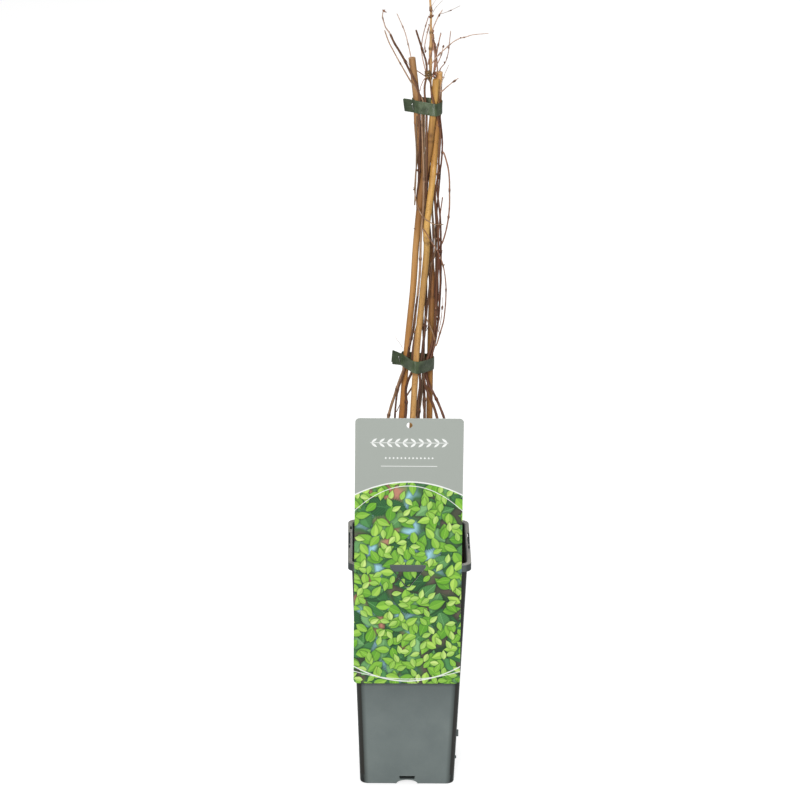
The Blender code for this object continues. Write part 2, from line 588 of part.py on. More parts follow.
def tie(name, strands):
    """A band of tape round the strands, its two ends laid together as a flag and stapled."""
    height, fall, pinch, flag, skew, splay = TIES[name]
    width, thick, layer = TAPE_WIDTH / MM, TAPE_THICKNESS / MM, 0.31
    rim = girdle(strands, height, fall, width)
    outline = outer_hull(rim + [pinch])
    at = outline.index(pinch)
    loop = outline[at + 1:] + outline[:at]
    sparse = [loop[0]]
    for point in loop[1:]:
        if math.dist(point, sparse[-1]) > 0.7:
            sparse.append(point)
    ends = [((flag[0], flag[1] - layer - 0.3), skew, splay), ((pinch[0], pinch[1] - layer), 0, 0)]
    back = [((pinch[0], pinch[1] + layer), 0, 0),
            ((flag[0] + 0.8, flag[1] + layer + 0.4), skew, -splay)]
    path = ends + [(point, 0, 0) for point in sparse] + back

    body = bmesh.new()
    edges = []
    for (x, y), lean, rise in path:
        z = height - fall[0] * x - fall[1] * y + rise
        edges.append([body.verts.new(Vector((x + (0.5 - side) * lean, y, z + (side - 0.5) * width)) * MM)
                      for side in (0, 1)])
    for (a, b), (c, d) in zip(edges, edges[1:]):
        body.faces.new((a, c, d, b))
    mesh = bpy.data.meshes.new("tie_" + name)
    body.to_mesh(mesh)
    body.free()
    band = place("tie_" + name, mesh, TAPE)
    wall = band.modifiers.new("Thickness", "SOLIDIFY")
    wall.thickness = thick * MM
    wall.offset = 0
    wall.use_even_offset = True

    share = STAPLE_FROM_PINCH / MM / (pinch[0] - flag[0])
    x, y = np.array(pinch) + share * (np.array(flag) - pinch)
    middle = Vector((x, y, height - fall[0] * x - fall[1] * y)) * MM
    turn = math.atan2(pinch[1] - flag[1], pinch[0] - flag[0])
    staple(name, band, middle, turn, layer * MM)


def staple(name, band, middle, turn, layer):
    """A bent wire through both ends of the tape, its crown in front and its legs folded behind."""
    lean = Matrix.Rotation(turn, 3, "Z") @ Matrix.Rotation(math.radians(-14), 3, "Y")
    out = layer + TAPE_THICKNESS / 2 + AIR + STAPLE_WIRE / 2
    half = STAPLE_CROWN / 2
    bend = 0.35 * MM
    corners = [(out, half - 2.3 * MM), (out, half - bend), (out - bend, half), (bend - out, half),
               (-out, half - bend), (-out, bend - half), (bend - out, -half), (out - bend, -half),
               (out, bend - half), (out, 2.3 * MM - half)]
    line = np.array([middle + lean @ Vector((0, y, z)) for y, z in corners]) / MM
    tube("staple_" + name, line, [STAPLE_WIRE / 2 / MM] * len(line), WIRE, 1)
    hole = 1.2 * MM
    rows = [(middle + lean @ Vector((0, 0, side * half)), (hole, 6 * layer, hole)) for side in (-1, 1)]
    combine(band, boxes("staple_holes_" + name, rows), "DIFFERENCE")


# Picture card

def rounded_card():
    """Outline of the card in its own plane, from its hinge line's middle."""
    hinge = POT_HEIGHT + 0.4 * MM
    half, low, high = CARD_WIDTH / 2, CARD_FOOT - hinge, CARD_TOP - hinge
    points = []
    for quarter, (x, y) in enumerate(((half, high), (-half, high), (-half, low), (half, low))):
        cx = x - math.copysign(CARD_CORNER, x)
        cy = y - CARD_CORNER if y == high else y + CARD_CORNER
        for step in range(5):
            angle = math.radians(90 * quarter + 22.5 * step)
            points.append((cx + CARD_CORNER * math.cos(angle), cy + CARD_CORNER * math.sin(angle)))
    return points


def vee_half(depth, inset=0.0):
    """Half width of the tongue's outline at a depth below its hinge line."""
    half, centre = TONGUE_WIDTH / 2, TONGUE_DEPTH - TONGUE_TIP_RADIUS
    reach = math.hypot(half, centre - TONGUE_STRAIGHT)
    lean = math.atan2(half, centre - TONGUE_STRAIGHT) - math.asin(TONGUE_TIP_RADIUS / reach)
    tangent_depth = centre + TONGUE_TIP_RADIUS * math.sin(lean)
    if depth <= TONGUE_STRAIGHT:
        wide = half
    elif depth <= tangent_depth:
        wide = half - (depth - TONGUE_STRAIGHT) * math.tan(lean)
    else:
        wide = math.sqrt(max(TONGUE_TIP_RADIUS**2 - (depth - centre)**2, 0))
    return max(wide - inset, 0)


def card():
    """The card with its window, and the tongue that is folded back over the rim into its slot."""
    hinge = POT_HEIGHT + 0.4 * MM
    middle = -RIM_WIDTH / 2 - 0.35 * MM - CARD_THICKNESS / 2
    flat = bpy.data.curves.new("card_outline", "CURVE")
    flat.dimensions = "2D"
    flat.fill_mode = "BOTH"
    flat.extrude = CARD_THICKNESS / 2
    tip_depths = [TONGUE_DEPTH - TONGUE_TIP_RADIUS * (1 - math.cos(math.radians(a))) for a in (52, 34, 16)]
    depths = [0, TONGUE_STRAIGHT] + tip_depths
    window = [(-vee_half(d), -d) for d in depths] + [(0, -TONGUE_DEPTH)]
    window += [(vee_half(d), -d) for d in reversed(depths)]
    hole_y = CARD_TOP - CARD_HOLE_BELOW_TOP - hinge
    hole = [(CARD_HOLE_DIAMETER / 2 * math.cos(a), hole_y + CARD_HOLE_DIAMETER / 2 * math.sin(a))
            for a in np.linspace(0, 2 * math.pi, 16, endpoint=False)]
    for outline in (rounded_card(), hole, window):
        spline = flat.splines.new("POLY")
        spline.points.add(len(outline) - 1)
        for point, (x, y) in zip(spline.points, outline):
            point.co = (x, y, 0, 1)
        spline.use_cyclic_u = True
    shape = place("card_outline", flat)
    shape.location = (CARD_MIDDLE, middle, hinge)
    shape.rotation_euler = (math.radians(90), 0, 0)
    plate = as_mesh("label", shape, CARD)

    slot_y = -RIM_WIDTH / 2 + RIM_SLOT_FROM_EDGE + 0.05 * MM
    over = [(middle, 0.35), (middle + 0.5 * MM, 0.75), (middle + 1.5 * MM, 0.85),
            (slot_y - 0.35 * MM, 0.55), (slot_y, -0.1)]
    down = [1.6, 2.7, 7, 12, 17, 18.6, 19.6, 20.4, 21.1]
    rows = [(y, hinge + rise * MM, TONGUE_WIDTH / 2 - TONGUE_KERF) for y, rise in over]
    rows += [(slot_y, hinge - depth * MM, vee_half(depth * MM + 0.9 * MM, TONGUE_KERF)) for depth in down]
    body = bmesh.new()
    edges = [[body.verts.new((CARD_MIDDLE + side * wide, y, z)) for side in (-1, 1)] for y, z, wide in rows]
    for (a, b), (c, d) in zip(edges, edges[1:]):
        body.faces.new((a, b, d, c))
    mesh = bpy.data.meshes.new("tongue")
    body.to_mesh(mesh)
    body.free()
    tongue = place("tongue", mesh, home=cutters)
    wall = tongue.modifiers.new("Thickness", "SOLIDIFY")
    wall.thickness = CARD_THICKNESS
    wall.offset = 0
    wall.use_even_offset = True
    combine(plate, tongue, "UNION")


def main():
    canes, strands = read_strands()
    pot()
    soil({**canes, **strands})
    for name, (line, radii) in canes.items():
        tube(name, line, radii, BAMBOO, 3)
    for name, (line, radii) in strands.items():
        tube(name, line, radii, BARK)
    for name in TIES:
        tie(name, {**canes, **strands})
    card()


main()
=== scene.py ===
# %% [markdown]
# # A dormant hop bine in its pot
#
# A hop is a climber that winds round its support. In winter its stems, called bines, are bare and
# brown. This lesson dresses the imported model: a square climber pot, compost, three bamboo canes,
# the bines and their twigs, two tape ties with staples, and a picture card.
#
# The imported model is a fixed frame. It is loaded first and never moved, and every new piece is
# laid on it, in the same metres.

import json
import math
import random

import bpy
import numpy as np
from mathutils import Matrix, Vector, geometry, kdtree, noise

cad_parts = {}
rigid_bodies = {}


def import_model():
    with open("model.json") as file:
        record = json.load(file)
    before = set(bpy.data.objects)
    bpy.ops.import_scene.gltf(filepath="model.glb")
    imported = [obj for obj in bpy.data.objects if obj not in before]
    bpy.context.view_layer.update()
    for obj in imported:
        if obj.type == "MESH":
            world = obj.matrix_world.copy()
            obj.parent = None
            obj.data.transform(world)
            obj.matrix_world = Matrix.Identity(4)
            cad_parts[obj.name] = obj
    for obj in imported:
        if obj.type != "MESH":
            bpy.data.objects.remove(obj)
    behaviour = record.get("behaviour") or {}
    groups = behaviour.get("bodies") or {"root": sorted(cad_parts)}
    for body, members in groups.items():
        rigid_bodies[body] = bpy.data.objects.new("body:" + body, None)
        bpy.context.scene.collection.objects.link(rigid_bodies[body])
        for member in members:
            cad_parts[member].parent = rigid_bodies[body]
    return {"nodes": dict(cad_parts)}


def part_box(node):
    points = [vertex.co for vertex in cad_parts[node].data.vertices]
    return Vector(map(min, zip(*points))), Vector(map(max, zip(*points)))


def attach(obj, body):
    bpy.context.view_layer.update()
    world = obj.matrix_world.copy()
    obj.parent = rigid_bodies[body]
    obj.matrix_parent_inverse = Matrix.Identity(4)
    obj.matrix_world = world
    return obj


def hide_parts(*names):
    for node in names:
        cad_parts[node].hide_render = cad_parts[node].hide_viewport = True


for old in list(bpy.data.objects):
    bpy.data.objects.remove(old, do_unlink=True)
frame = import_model()
bpy.context.view_layer.update()
MM = 0.001

# %% [markdown]
# ## The camera
#
# The photograph was taken from a few metres away with a long lens, looking down about twenty
# degrees. The camera gets that place and lens, so the render can be laid over the photograph.

# %% Camera
CAMERA_PLACE = Vector((-0.060, -3.7894, 1.7494))
CAMERA_YAW = math.radians(0.756)
CAMERA_DIP = math.radians(19.97)
CAMERA_ROLL = math.radians(0.618)
CAMERA_LENS = 194.67

forward = Vector((math.sin(CAMERA_YAW) * math.cos(CAMERA_DIP),
                  math.cos(CAMERA_YAW) * math.cos(CAMERA_DIP),
                  -math.sin(CAMERA_DIP)))
level_right = forward.cross(Vector((0, 0, 1))).normalized()
level_up = level_right.cross(forward)
right = math.cos(CAMERA_ROLL) * level_right + math.sin(CAMERA_ROLL) * level_up
up = math.cos(CAMERA_ROLL) * level_up - math.sin(CAMERA_ROLL) * level_right

bpy.ops.object.camera_add()
camera = bpy.context.object
camera.name = "photo_camera"
camera.data.sensor_width = 36
camera.data.lens = CAMERA_LENS
camera.data.clip_end = 100
turn = Matrix((right, up, -forward)).transposed()
camera.matrix_world = Matrix.Translation(CAMERA_PLACE) @ turn.to_4x4()
bpy.context.scene.camera = camera
print("camera at", tuple(CAMERA_PLACE))

# %% [markdown]
# ## Helpers for modelling
#
# An operator acts on whatever is selected, so each step starts with nothing selected. A finished
# piece has its place in its mesh, rides on the body "root", and names its material slot.

# %% Helpers
def clear_selection():
    if bpy.context.object and bpy.context.object.mode != "OBJECT":
        bpy.ops.object.mode_set(mode="OBJECT")
    bpy.ops.object.select_all(action="DESELECT")


def pick(piece):
    """Makes the piece the only one selected, and active."""
    clear_selection()
    piece.select_set(True)
    bpy.context.view_layer.objects.active = piece


def apply_all(piece):
    """Applies the piece's modifiers and its place."""
    pick(piece)
    for modifier in list(piece.modifiers):
        bpy.ops.object.modifier_apply(modifier=modifier.name)
    bpy.ops.object.transform_apply(location=True, rotation=True, scale=True)


def join(pieces, name):
    """Joins the pieces in one mesh."""
    clear_selection()
    for piece in pieces:
        piece.select_set(True)
    bpy.context.view_layer.objects.active = pieces[0]
    if len(pieces) > 1:
        bpy.ops.object.join()
    pieces[0].name = name
    return pieces[0]


def finish_piece(piece, look, nodes=()):
    """Gives a piece its material, hangs it on the body root, and hides the given frame parts."""
    pick(piece)
    bpy.ops.object.transform_apply(location=True, rotation=True, scale=True)
    piece.data.materials.clear()
    piece.data.materials.append(look)
    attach(piece, "root")
    if nodes:
        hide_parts(*nodes)
    return piece


def from_srgb(red, green, blue):
    """A colour as seen on screen, 0 to 255, in the linear values that a shader wants."""
    return tuple((c / 255 / 12.92) if c <= 10 else ((c / 255 + 0.055) / 1.055) ** 2.4
                 for c in (red, green, blue))


# %% [markdown]
# ## Reading a tube's centre line
#
# Each cane, bine and twig in the frame is a tube of six or ten sides. Its bark and its nodes need
# a rounder tube on the same line, so the line is read back from the frame: the rings are found
# one after another from the flat end, and each ring's middle is a point of the line.

# %% Centre lines of the frame's tubes
def flat_patches(mesh):
    """Groups of triangles that lie in one plane and touch, as lists of vertex numbers."""
    by_edge = {}
    for face in mesh.polygons:
        for key in face.edge_keys:
            by_edge.setdefault(key, []).append(face.index)
    seen, patches = set(), []
    for face in mesh.polygons:
        if face.index in seen:
            continue
        seen.add(face.index)
        stack, corners = [face], set()
        while stack:
            current = stack.pop()
            corners.update(current.vertices)
            for key in current.edge_keys:
                for index in by_edge[key]:
                    near = mesh.polygons[index]
                    if index not in seen and near.normal.dot(current.normal) > 1 - 1e-5:
                        seen.add(index)
                        stack.append(near)
        patches.append(sorted(corners))
    return patches


def tube_line(node, sides):
    """Points and radii, in metres, along the middle of a frame tube, from its thick end."""
    pick(frame["nodes"][node])
    bpy.ops.object.duplicate()
    copy = bpy.context.object
    bpy.ops.object.mode_set(mode="EDIT")
    bpy.ops.mesh.select_all(action="SELECT")
    bpy.ops.mesh.remove_doubles(threshold=0.005 * MM)
    bpy.ops.object.mode_set(mode="OBJECT")
    mesh = copy.data
    places = np.array([v.co[:] for v in mesh.vertices])
    near = [set() for _ in places]
    for a, b in (edge.vertices for edge in mesh.edges):
        near[a].add(b)
        near[b].add(a)
    ends = []
    for patch in flat_patches(mesh):
        if len(patch) == sides:
            reach = np.linalg.norm(places[patch] - places[patch].mean(0), axis=1)
            if reach.std() < 0.02 * reach.mean():
                ends.append(patch)
    ring, seen, rings = set(ends[0]), set(ends[0]), []
    while ring:
        rings.append(sorted(ring))
        ring = {b for a in ring for b in near[a]} - seen
        seen |= ring
    bpy.data.objects.remove(copy, do_unlink=True)
    line = np.array([places[r].mean(0) for r in rings])
    radii = np.array([np.linalg.norm(places[r] - m, axis=1).mean() for r, m in zip(rings, line)])
    if radii[0] < radii[-1] - 1e-6 or (abs(radii[0] - radii[-1]) < 1e-6 and line[0][2] > line[-1][2]):
        line, radii = line[::-1], radii[::-1]
    return line, radii


CANES = ("cane_left", "cane_right", "cane_front")
BINES = [name for name in sorted(frame["nodes"]) if "bine" in name or name == "tendril"]
TWIGS = [name for name in sorted(frame["nodes"]) if name.startswith("twig_")]
lines = {name: tube_line(name, 10) for name in CANES}
lines.update({name: tube_line(name, 6) for name in BINES + TWIGS})
for name, (line, radii) in lines.items():
    print(f"{name}: {len(line)} rings, {radii[0] / MM:.2f} to {radii[-1] / MM:.2f} mm")

# %% [markdown]
# ## The stage and the light
#
# A product photograph on white has one large lamp in front, that leaves the edges of each cane
# dark, and a little light from all round. A pale floor, a dim pale world and three area lamps do
# the same. The floor glows for the camera alone, so it looks white and throws little light up.

# %% Floor and lights
FLOOR_SIZE = 12
bpy.ops.mesh.primitive_plane_add(size=FLOOR_SIZE, location=(0, 0, -0.0004))
floor = bpy.context.object
floor.name = "floor"
floor_look = bpy.data.materials.new("floor_look")
floor_look.use_nodes = True
floor_tree = floor_look.node_tree
floor_shader = floor_tree.nodes["Principled BSDF"]
floor_shader.inputs["Base Color"].default_value = (0.45, 0.45, 0.45, 1)
floor_shader.inputs["Roughness"].default_value = 0.9
floor_shader.inputs["Emission Color"].default_value = (1, 1, 1, 1)
seen = floor_tree.nodes.new("ShaderNodeLightPath")
glow = floor_tree.nodes.new("ShaderNodeMath")
glow.operation = "MULTIPLY"
glow.inputs[1].default_value = 0.74
floor_tree.links.new(seen.outputs["Is Camera Ray"], glow.inputs[0])
floor_tree.links.new(glow.outputs[0], floor_shader.inputs["Emission Strength"])
floor.data.materials.append(floor_look)

world = bpy.data.worlds.new("studio_world")
world.use_nodes = True
world.node_tree.nodes["Background"].inputs["Color"].default_value = (1, 1, 1, 1)
world.node_tree.nodes["Background"].inputs["Strength"].default_value = 0.27
bpy.context.scene.world = world


def add_lamp(name, place, target, size, power):
    """A square area lamp that points at the target."""
    bpy.ops.object.light_add(type="AREA", location=place)
    lamp = bpy.context.object
    lamp.name = name
    lamp.data.size = size
    lamp.data.energy = power
    aim = Vector(target) - Vector(place)
    lamp.rotation_euler = aim.to_track_quat("-Z", "Y").to_euler()
    return lamp


add_lamp("key_lamp", (-0.55, -2.8, 1.7), (0, 0, 0.4), 0.9, 74)
add_lamp("top_lamp", (0.3, 0.2, 3.2), (0, 0, 0.2), 1.6, 34)
add_lamp("back_lamp", (0.9, 2.6, 1.5), (0, 0, 0.35), 1.6, 16)
bpy.context.scene.view_settings.view_transform = "Standard"
print("floor and three lamps")

# %% [markdown]
# ## Shared shader groups
#
# Two effects come back in many finishes. Fibres are noise drawn out along the height, for bark
# and cane. Speckle is small darker dots and smears, for dirt, lichen and moulded plastic. Each is
# a group that is built once, with its own values in every material that uses it.

# %% Shader groups
def new_group(name, inputs, outputs):
    """An empty shader group with named sockets."""
    group = bpy.data.node_groups.new(name, "ShaderNodeTree")
    for label, kind, value in inputs:
        socket = group.interface.new_socket(label, in_out="INPUT", socket_type=kind)
        socket.default_value = value
    for label, kind in outputs:
        group.interface.new_socket(label, in_out="OUTPUT", socket_type=kind)
    group.nodes.new("NodeGroupInput")
    group.nodes.new("NodeGroupOutput")
    return group


def add_node(tree, kind, settings=None, **values):
    """A node with its settings, and its inputs set by name or number."""
    node = tree.nodes.new(kind)
    for key, value in (settings or {}).items():
        setattr(node, key, value)
    for key, value in values.items():
        node.inputs[key.replace("_", " ")].default_value = value
    return node


def math_node(tree, operation, first, second=None, third=None):
    """A Math node on sockets or numbers. Returns its output."""
    node = tree.nodes.new("ShaderNodeMath")
    node.operation = operation
    for slot_number, value in enumerate((first, second, third)):
        if value is None:
            continue
        if isinstance(value, (int, float)):
            node.inputs[slot_number].default_value = value
        else:
            tree.links.new(value, node.inputs[slot_number])
    return node.outputs[0]


def mix_colour(tree, share, first, second, blend="MIX"):
    """A colour Mix node on sockets or colours. Returns its output."""
    node = tree.nodes.new("ShaderNodeMix")
    node.data_type = "RGBA"
    node.blend_type = blend
    for socket, value in ((node.inputs[0], share), (node.inputs[6], first), (node.inputs[7], second)):
        if isinstance(value, bpy.types.NodeSocket):
            tree.links.new(value, socket)
        elif isinstance(value, (int, float)):
            socket.default_value = value
        else:
            socket.default_value = (*value, 1)
    return node.outputs[2]


def ramp(tree, value, stops):
    """A Color Ramp with the given (place, colour) stops. Returns its colour."""
    node = tree.nodes.new("ShaderNodeValToRGB")
    elements = node.color_ramp.elements
    while len(elements) < len(stops):
        elements.new(0.5)
    for element, (place, colour) in zip(elements, stops):
        element.position = place
        element.color = (*colour, 1)
    tree.links.new(value, node.inputs[0])
    return node.outputs[0]


def map_range(tree, value, low, high, first=0.0, last=1.0):
    """Takes low to high into first to last, held at both ends."""
    node = tree.nodes.new("ShaderNodeMapRange")
    tree.links.new(value, node.inputs[0])
    for slot_number, number in enumerate((low, high, first, last), 1):
        node.inputs[slot_number].default_value = number
    return node.outputs[0]


def vector_math(tree, operation, first, second=None, scale=None):
    """A Vector Math node on sockets or vectors. Returns its output."""
    node = tree.nodes.new("ShaderNodeVectorMath")
    node.operation = operation
    for slot_number, value in enumerate((first, second)):
        if isinstance(value, bpy.types.NodeSocket):
            tree.links.new(value, node.inputs[slot_number])
        elif value is not None:
            node.inputs[slot_number].default_value = value
    if isinstance(scale, bpy.types.NodeSocket):
        tree.links.new(scale, node.inputs["Scale"])
    elif scale is not None:
        node.inputs["Scale"].default_value = scale
    return node.outputs[0]


def separate(tree, vector):
    node = tree.nodes.new("ShaderNodeSeparateXYZ")
    tree.links.new(vector, node.inputs[0])
    return node.outputs


def build_fibres():
    group = new_group("fibres",
                      [("Vector", "NodeSocketVector", (0, 0, 0)), ("Across", "NodeSocketFloat", 900),
                       ("Along", "NodeSocketFloat", 60)],
                      [("Fine", "NodeSocketFloat"), ("Broad", "NodeSocketFloat")])
    tree, start = group, group.nodes["Group Input"]
    stretch = tree.nodes.new("ShaderNodeCombineXYZ")
    tree.links.new(start.outputs["Across"], stretch.inputs[0])
    tree.links.new(start.outputs["Across"], stretch.inputs[1])
    tree.links.new(start.outputs["Along"], stretch.inputs[2])
    scaled = add_node(tree, "ShaderNodeVectorMath", {"operation": "MULTIPLY"})
    tree.links.new(start.outputs["Vector"], scaled.inputs[0])
    tree.links.new(stretch.outputs[0], scaled.inputs[1])
    fine = add_node(tree, "ShaderNodeTexNoise", Scale=1.0, Detail=4.0, Roughness=0.6)
    broad = add_node(tree, "ShaderNodeTexNoise", Scale=0.22, Detail=2.0)
    for noise_node, name in ((fine, "Fine"), (broad, "Broad")):
        tree.links.new(scaled.outputs[0], noise_node.inputs["Vector"])
        tree.links.new(noise_node.outputs[0], group.nodes["Group Output"].inputs[name])
    return group


def build_speckle():
    group = new_group("speckle",
                      [("Vector", "NodeSocketVector", (0, 0, 0)), ("Scale", "NodeSocketFloat", 500),
                       ("Amount", "NodeSocketFloat", 0.5)],
                      [("Mask", "NodeSocketFloat")])
    tree, start = group, group.nodes["Group Input"]
    dots = add_node(tree, "ShaderNodeTexVoronoi", Randomness=1.0)
    clumps = add_node(tree, "ShaderNodeTexNoise", Detail=3.0)
    tree.links.new(start.outputs["Vector"], dots.inputs["Vector"])
    tree.links.new(start.outputs["Vector"], clumps.inputs["Vector"])
    tree.links.new(start.outputs["Scale"], dots.inputs["Scale"])
    tree.links.new(math_node(tree, "MULTIPLY", start.outputs["Scale"], 0.15), clumps.inputs["Scale"])
    dot = math_node(tree, "LESS_THAN", dots.outputs["Distance"], 0.28)
    patchy = math_node(tree, "LESS_THAN", clumps.outputs[0],
                       math_node(tree, "MULTIPLY_ADD", start.outputs["Amount"], 0.4, 0.3))
    tree.links.new(math_node(tree, "MULTIPLY", dot, patchy), group.nodes["Group Output"].inputs["Mask"])
    return group


FIBRES = build_fibres()
SPECKLE = build_speckle()
print("shader groups:", FIBRES.name, SPECKLE.name)


# %% [markdown]
# ## Finishes
#
# Every finish starts from Object coordinates, which are the frame's own metres, so a colour can
# follow the height up the plant: the canes are orange in the shade of the pot and straw pale at
# their tops.

# %% A material to start from
def start_material(name, roughness, bump=0.0, bump_distance=0.0002):
    """A material, its shader, the Object coordinates and a Bump node that feeds Normal."""
    made = bpy.data.materials.new(name)
    made.use_nodes = True
    tree = made.node_tree
    shader = tree.nodes["Principled BSDF"]
    shader.inputs["Roughness"].default_value = roughness
    place = tree.nodes.new("ShaderNodeTexCoord").outputs["Object"]
    relief = add_node(tree, "ShaderNodeBump", Strength=bump, Distance=bump_distance)
    tree.links.new(relief.outputs[0], shader.inputs["Normal"])
    return made, tree, shader, place, relief


def use_group(tree, group, vector, **values):
    """Places a shader group in a material, with its own values."""
    node = tree.nodes.new("ShaderNodeGroup")
    node.node_tree = group
    tree.links.new(vector, node.inputs["Vector"])
    for key, value in values.items():
        node.inputs[key].default_value = value
    return node


def height_share(tree, place, low, high):
    """0 at the low height and 1 at the high one."""
    split = tree.nodes.new("ShaderNodeSeparateXYZ")
    tree.links.new(place, split.inputs[0])
    reach = add_node(tree, "ShaderNodeMapRange")
    tree.links.new(split.outputs[2], reach.inputs[0])
    reach.inputs[1].default_value = low
    reach.inputs[2].default_value = high
    return reach.outputs[0]


# %% Bamboo
def bamboo_look(name, tones, stain, specks):
    """Waxy cane with fine fibres, a darker band at each node, and brown stains.

    The tones are (height in millimetres, colour), from the pot up."""
    made, tree, shader, place, relief = start_material(name, 0.42, 0.5, 0.00012)
    fibre = use_group(tree, FIBRES, place, Across=1700, Along=22)
    low, high = 200, 720
    stops = [((height - low) / (high - low), from_srgb(*tone)) for height, tone in tones]
    colour = ramp(tree, height_share(tree, place, low * MM, high * MM), stops)
    streak = ramp(tree, fibre.outputs["Fine"], [(0.32, (0.62, 0.5, 0.36)), (0.62, (1, 1, 1))])
    colour = mix_colour(tree, 0.55, colour, streak, "MULTIPLY")
    smear = ramp(tree, fibre.outputs["Broad"], [(0.42, (0, 0, 0)), (0.66, (1, 1, 1))])
    colour = mix_colour(tree, math_node(tree, "MULTIPLY", smear, 0.5), colour, stain)
    spots = use_group(tree, SPECKLE, place, Scale=620, Amount=specks)
    colour = mix_colour(tree, math_node(tree, "MULTIPLY", spots.outputs[0], 0.4), colour,
                        from_srgb(92, 58, 30))
    band = add_node(tree, "ShaderNodeAttribute", {"attribute_name": "joint"})
    colour = mix_colour(tree, math_node(tree, "MULTIPLY", band.outputs["Fac"], 0.8), colour,
                        from_srgb(96, 62, 32))
    tree.links.new(colour, shader.inputs["Base Color"])
    tree.links.new(fibre.outputs["Fine"], relief.inputs["Height"])
    return made


# In cane_left's tones, the darker stops at 560 and 630 mm, below the upper tie, are painted shade of the tie and the
# strands.
BAMBOO = {
    "cane_left": bamboo_look("bamboo_left",
                             [(330, (186, 118, 56)), (400, (204, 148, 84)), (530, (204, 156, 96)),
                              (560, (164, 118, 68)), (630, (178, 132, 74)), (650, (224, 176, 96))],
                             from_srgb(132, 84, 42), 0.15),
    "cane_right": bamboo_look("bamboo_right",
                              [(330, (190, 132, 70)), (440, (168, 124, 66)), (475, (172, 120, 74)),
                               (560, (150, 106, 66)), (640, (190, 140, 90)), (680, (192, 150, 102))],
                              from_srgb(120, 76, 40), 0.2),
    "cane_front": bamboo_look("bamboo_front",
                              [(330, (206, 158, 98)), (430, (212, 166, 100)), (520, (204, 164, 94)),
                               (540, (226, 180, 102)), (610, (222, 172, 94)), (645, (190, 136, 78)),
                               (670, (228, 180, 118))],
                              from_srgb(150, 98, 48), 0.7),
}


# %% Bark
def bark_look(name, low_colour, high_colour, split_colour, low=0.42, high=0.74, knots=0.6, low_split=None):
    """Dry stem with peeling fibres. Its colours go from the low ones to the high ones."""
    made, tree, shader, place, relief = start_material(name, 0.72, 0.9, 0.0003)
    fibre = use_group(tree, FIBRES, place, Across=1500, Along=70)
    rise = height_share(tree, place, low, high)
    colour = mix_colour(tree, rise, low_colour, high_colour)
    split = mix_colour(tree, rise, low_split or split_colour, split_colour)
    worn = ramp(tree, fibre.outputs["Broad"], [(0.4, (0, 0, 0)), (0.62, (1, 1, 1))])
    colour = mix_colour(tree, math_node(tree, "MULTIPLY", worn, 0.6), colour, split)
    groove = ramp(tree, fibre.outputs["Fine"], [(0.3, (0.4, 0.36, 0.34)), (0.6, (1, 1, 1))])
    colour = mix_colour(tree, 0.8, colour, groove, "MULTIPLY")
    knot = add_node(tree, "ShaderNodeAttribute", {"attribute_name": "joint"})
    colour = mix_colour(tree, math_node(tree, "MULTIPLY", knot.outputs["Fac"], knots), colour,
                        from_srgb(66, 42, 28))
    tree.links.new(colour, shader.inputs["Base Color"])
    tree.links.new(fibre.outputs["Fine"], relief.inputs["Height"])
    return made


BARK = {
    "dark": bark_look("bark_dark", from_srgb(88, 54, 34), from_srgb(112, 74, 50), from_srgb(138, 100, 74)),
    "red": bark_look("bark_red", from_srgb(116, 66, 44), from_srgb(134, 88, 66), from_srgb(160, 116, 88)),
    "grey": bark_look("bark_grey", from_srgb(124, 94, 72), from_srgb(142, 114, 88), from_srgb(172, 146, 114)),
    "tan": bark_look("bark_tan", from_srgb(150, 110, 76), from_srgb(178, 142, 112), from_srgb(200, 168, 136)),
    "leader": bark_look("bark_leader", from_srgb(112, 68, 44), from_srgb(210, 164, 106),
                        from_srgb(226, 188, 134), 0.668, 0.70, 0.7, from_srgb(138, 98, 72)),
    "brown": bark_look("bark_brown", from_srgb(146, 94, 66), from_srgb(172, 124, 98), from_srgb(196, 156, 130)),
    "olive": bark_look("bark_olive", from_srgb(106, 82, 48), from_srgb(112, 86, 50), from_srgb(156, 126, 80)),
    "dark_to_pale": bark_look("bark_dark_to_pale", from_srgb(96, 58, 38), from_srgb(202, 168, 150),
                              from_srgb(214, 186, 170), 0.672, 0.692, 0.4, from_srgb(134, 94, 68)),
    "red_to_hair": bark_look("bark_red_to_hair", from_srgb(112, 66, 46), from_srgb(212, 194, 182),
                             from_srgb(228, 216, 206), 0.664, 0.682, 0.3, from_srgb(142, 104, 84)),
    "pale": bark_look("bark_pale", from_srgb(188, 148, 126), from_srgb(206, 170, 148),
                      from_srgb(222, 196, 176), 0.5, 0.74, 0.45),
    "hair": bark_look("bark_hair", from_srgb(206, 186, 172), from_srgb(214, 200, 190),
                      from_srgb(232, 222, 214), 0.5, 0.74, 0.3),
}
print("bamboo and bark finishes:", len(BAMBOO) + len(BARK))


# %% Pot plastic, compost, tape and wire
pot_low, pot_high = (Vector(corner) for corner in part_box("pot"))
POT_HEIGHT, RIM_HALF = pot_high.z, pot_high.y
BODY_FOOT_HALF, BODY_TOP_HALF = 44.55 * MM, 54.1 * MM


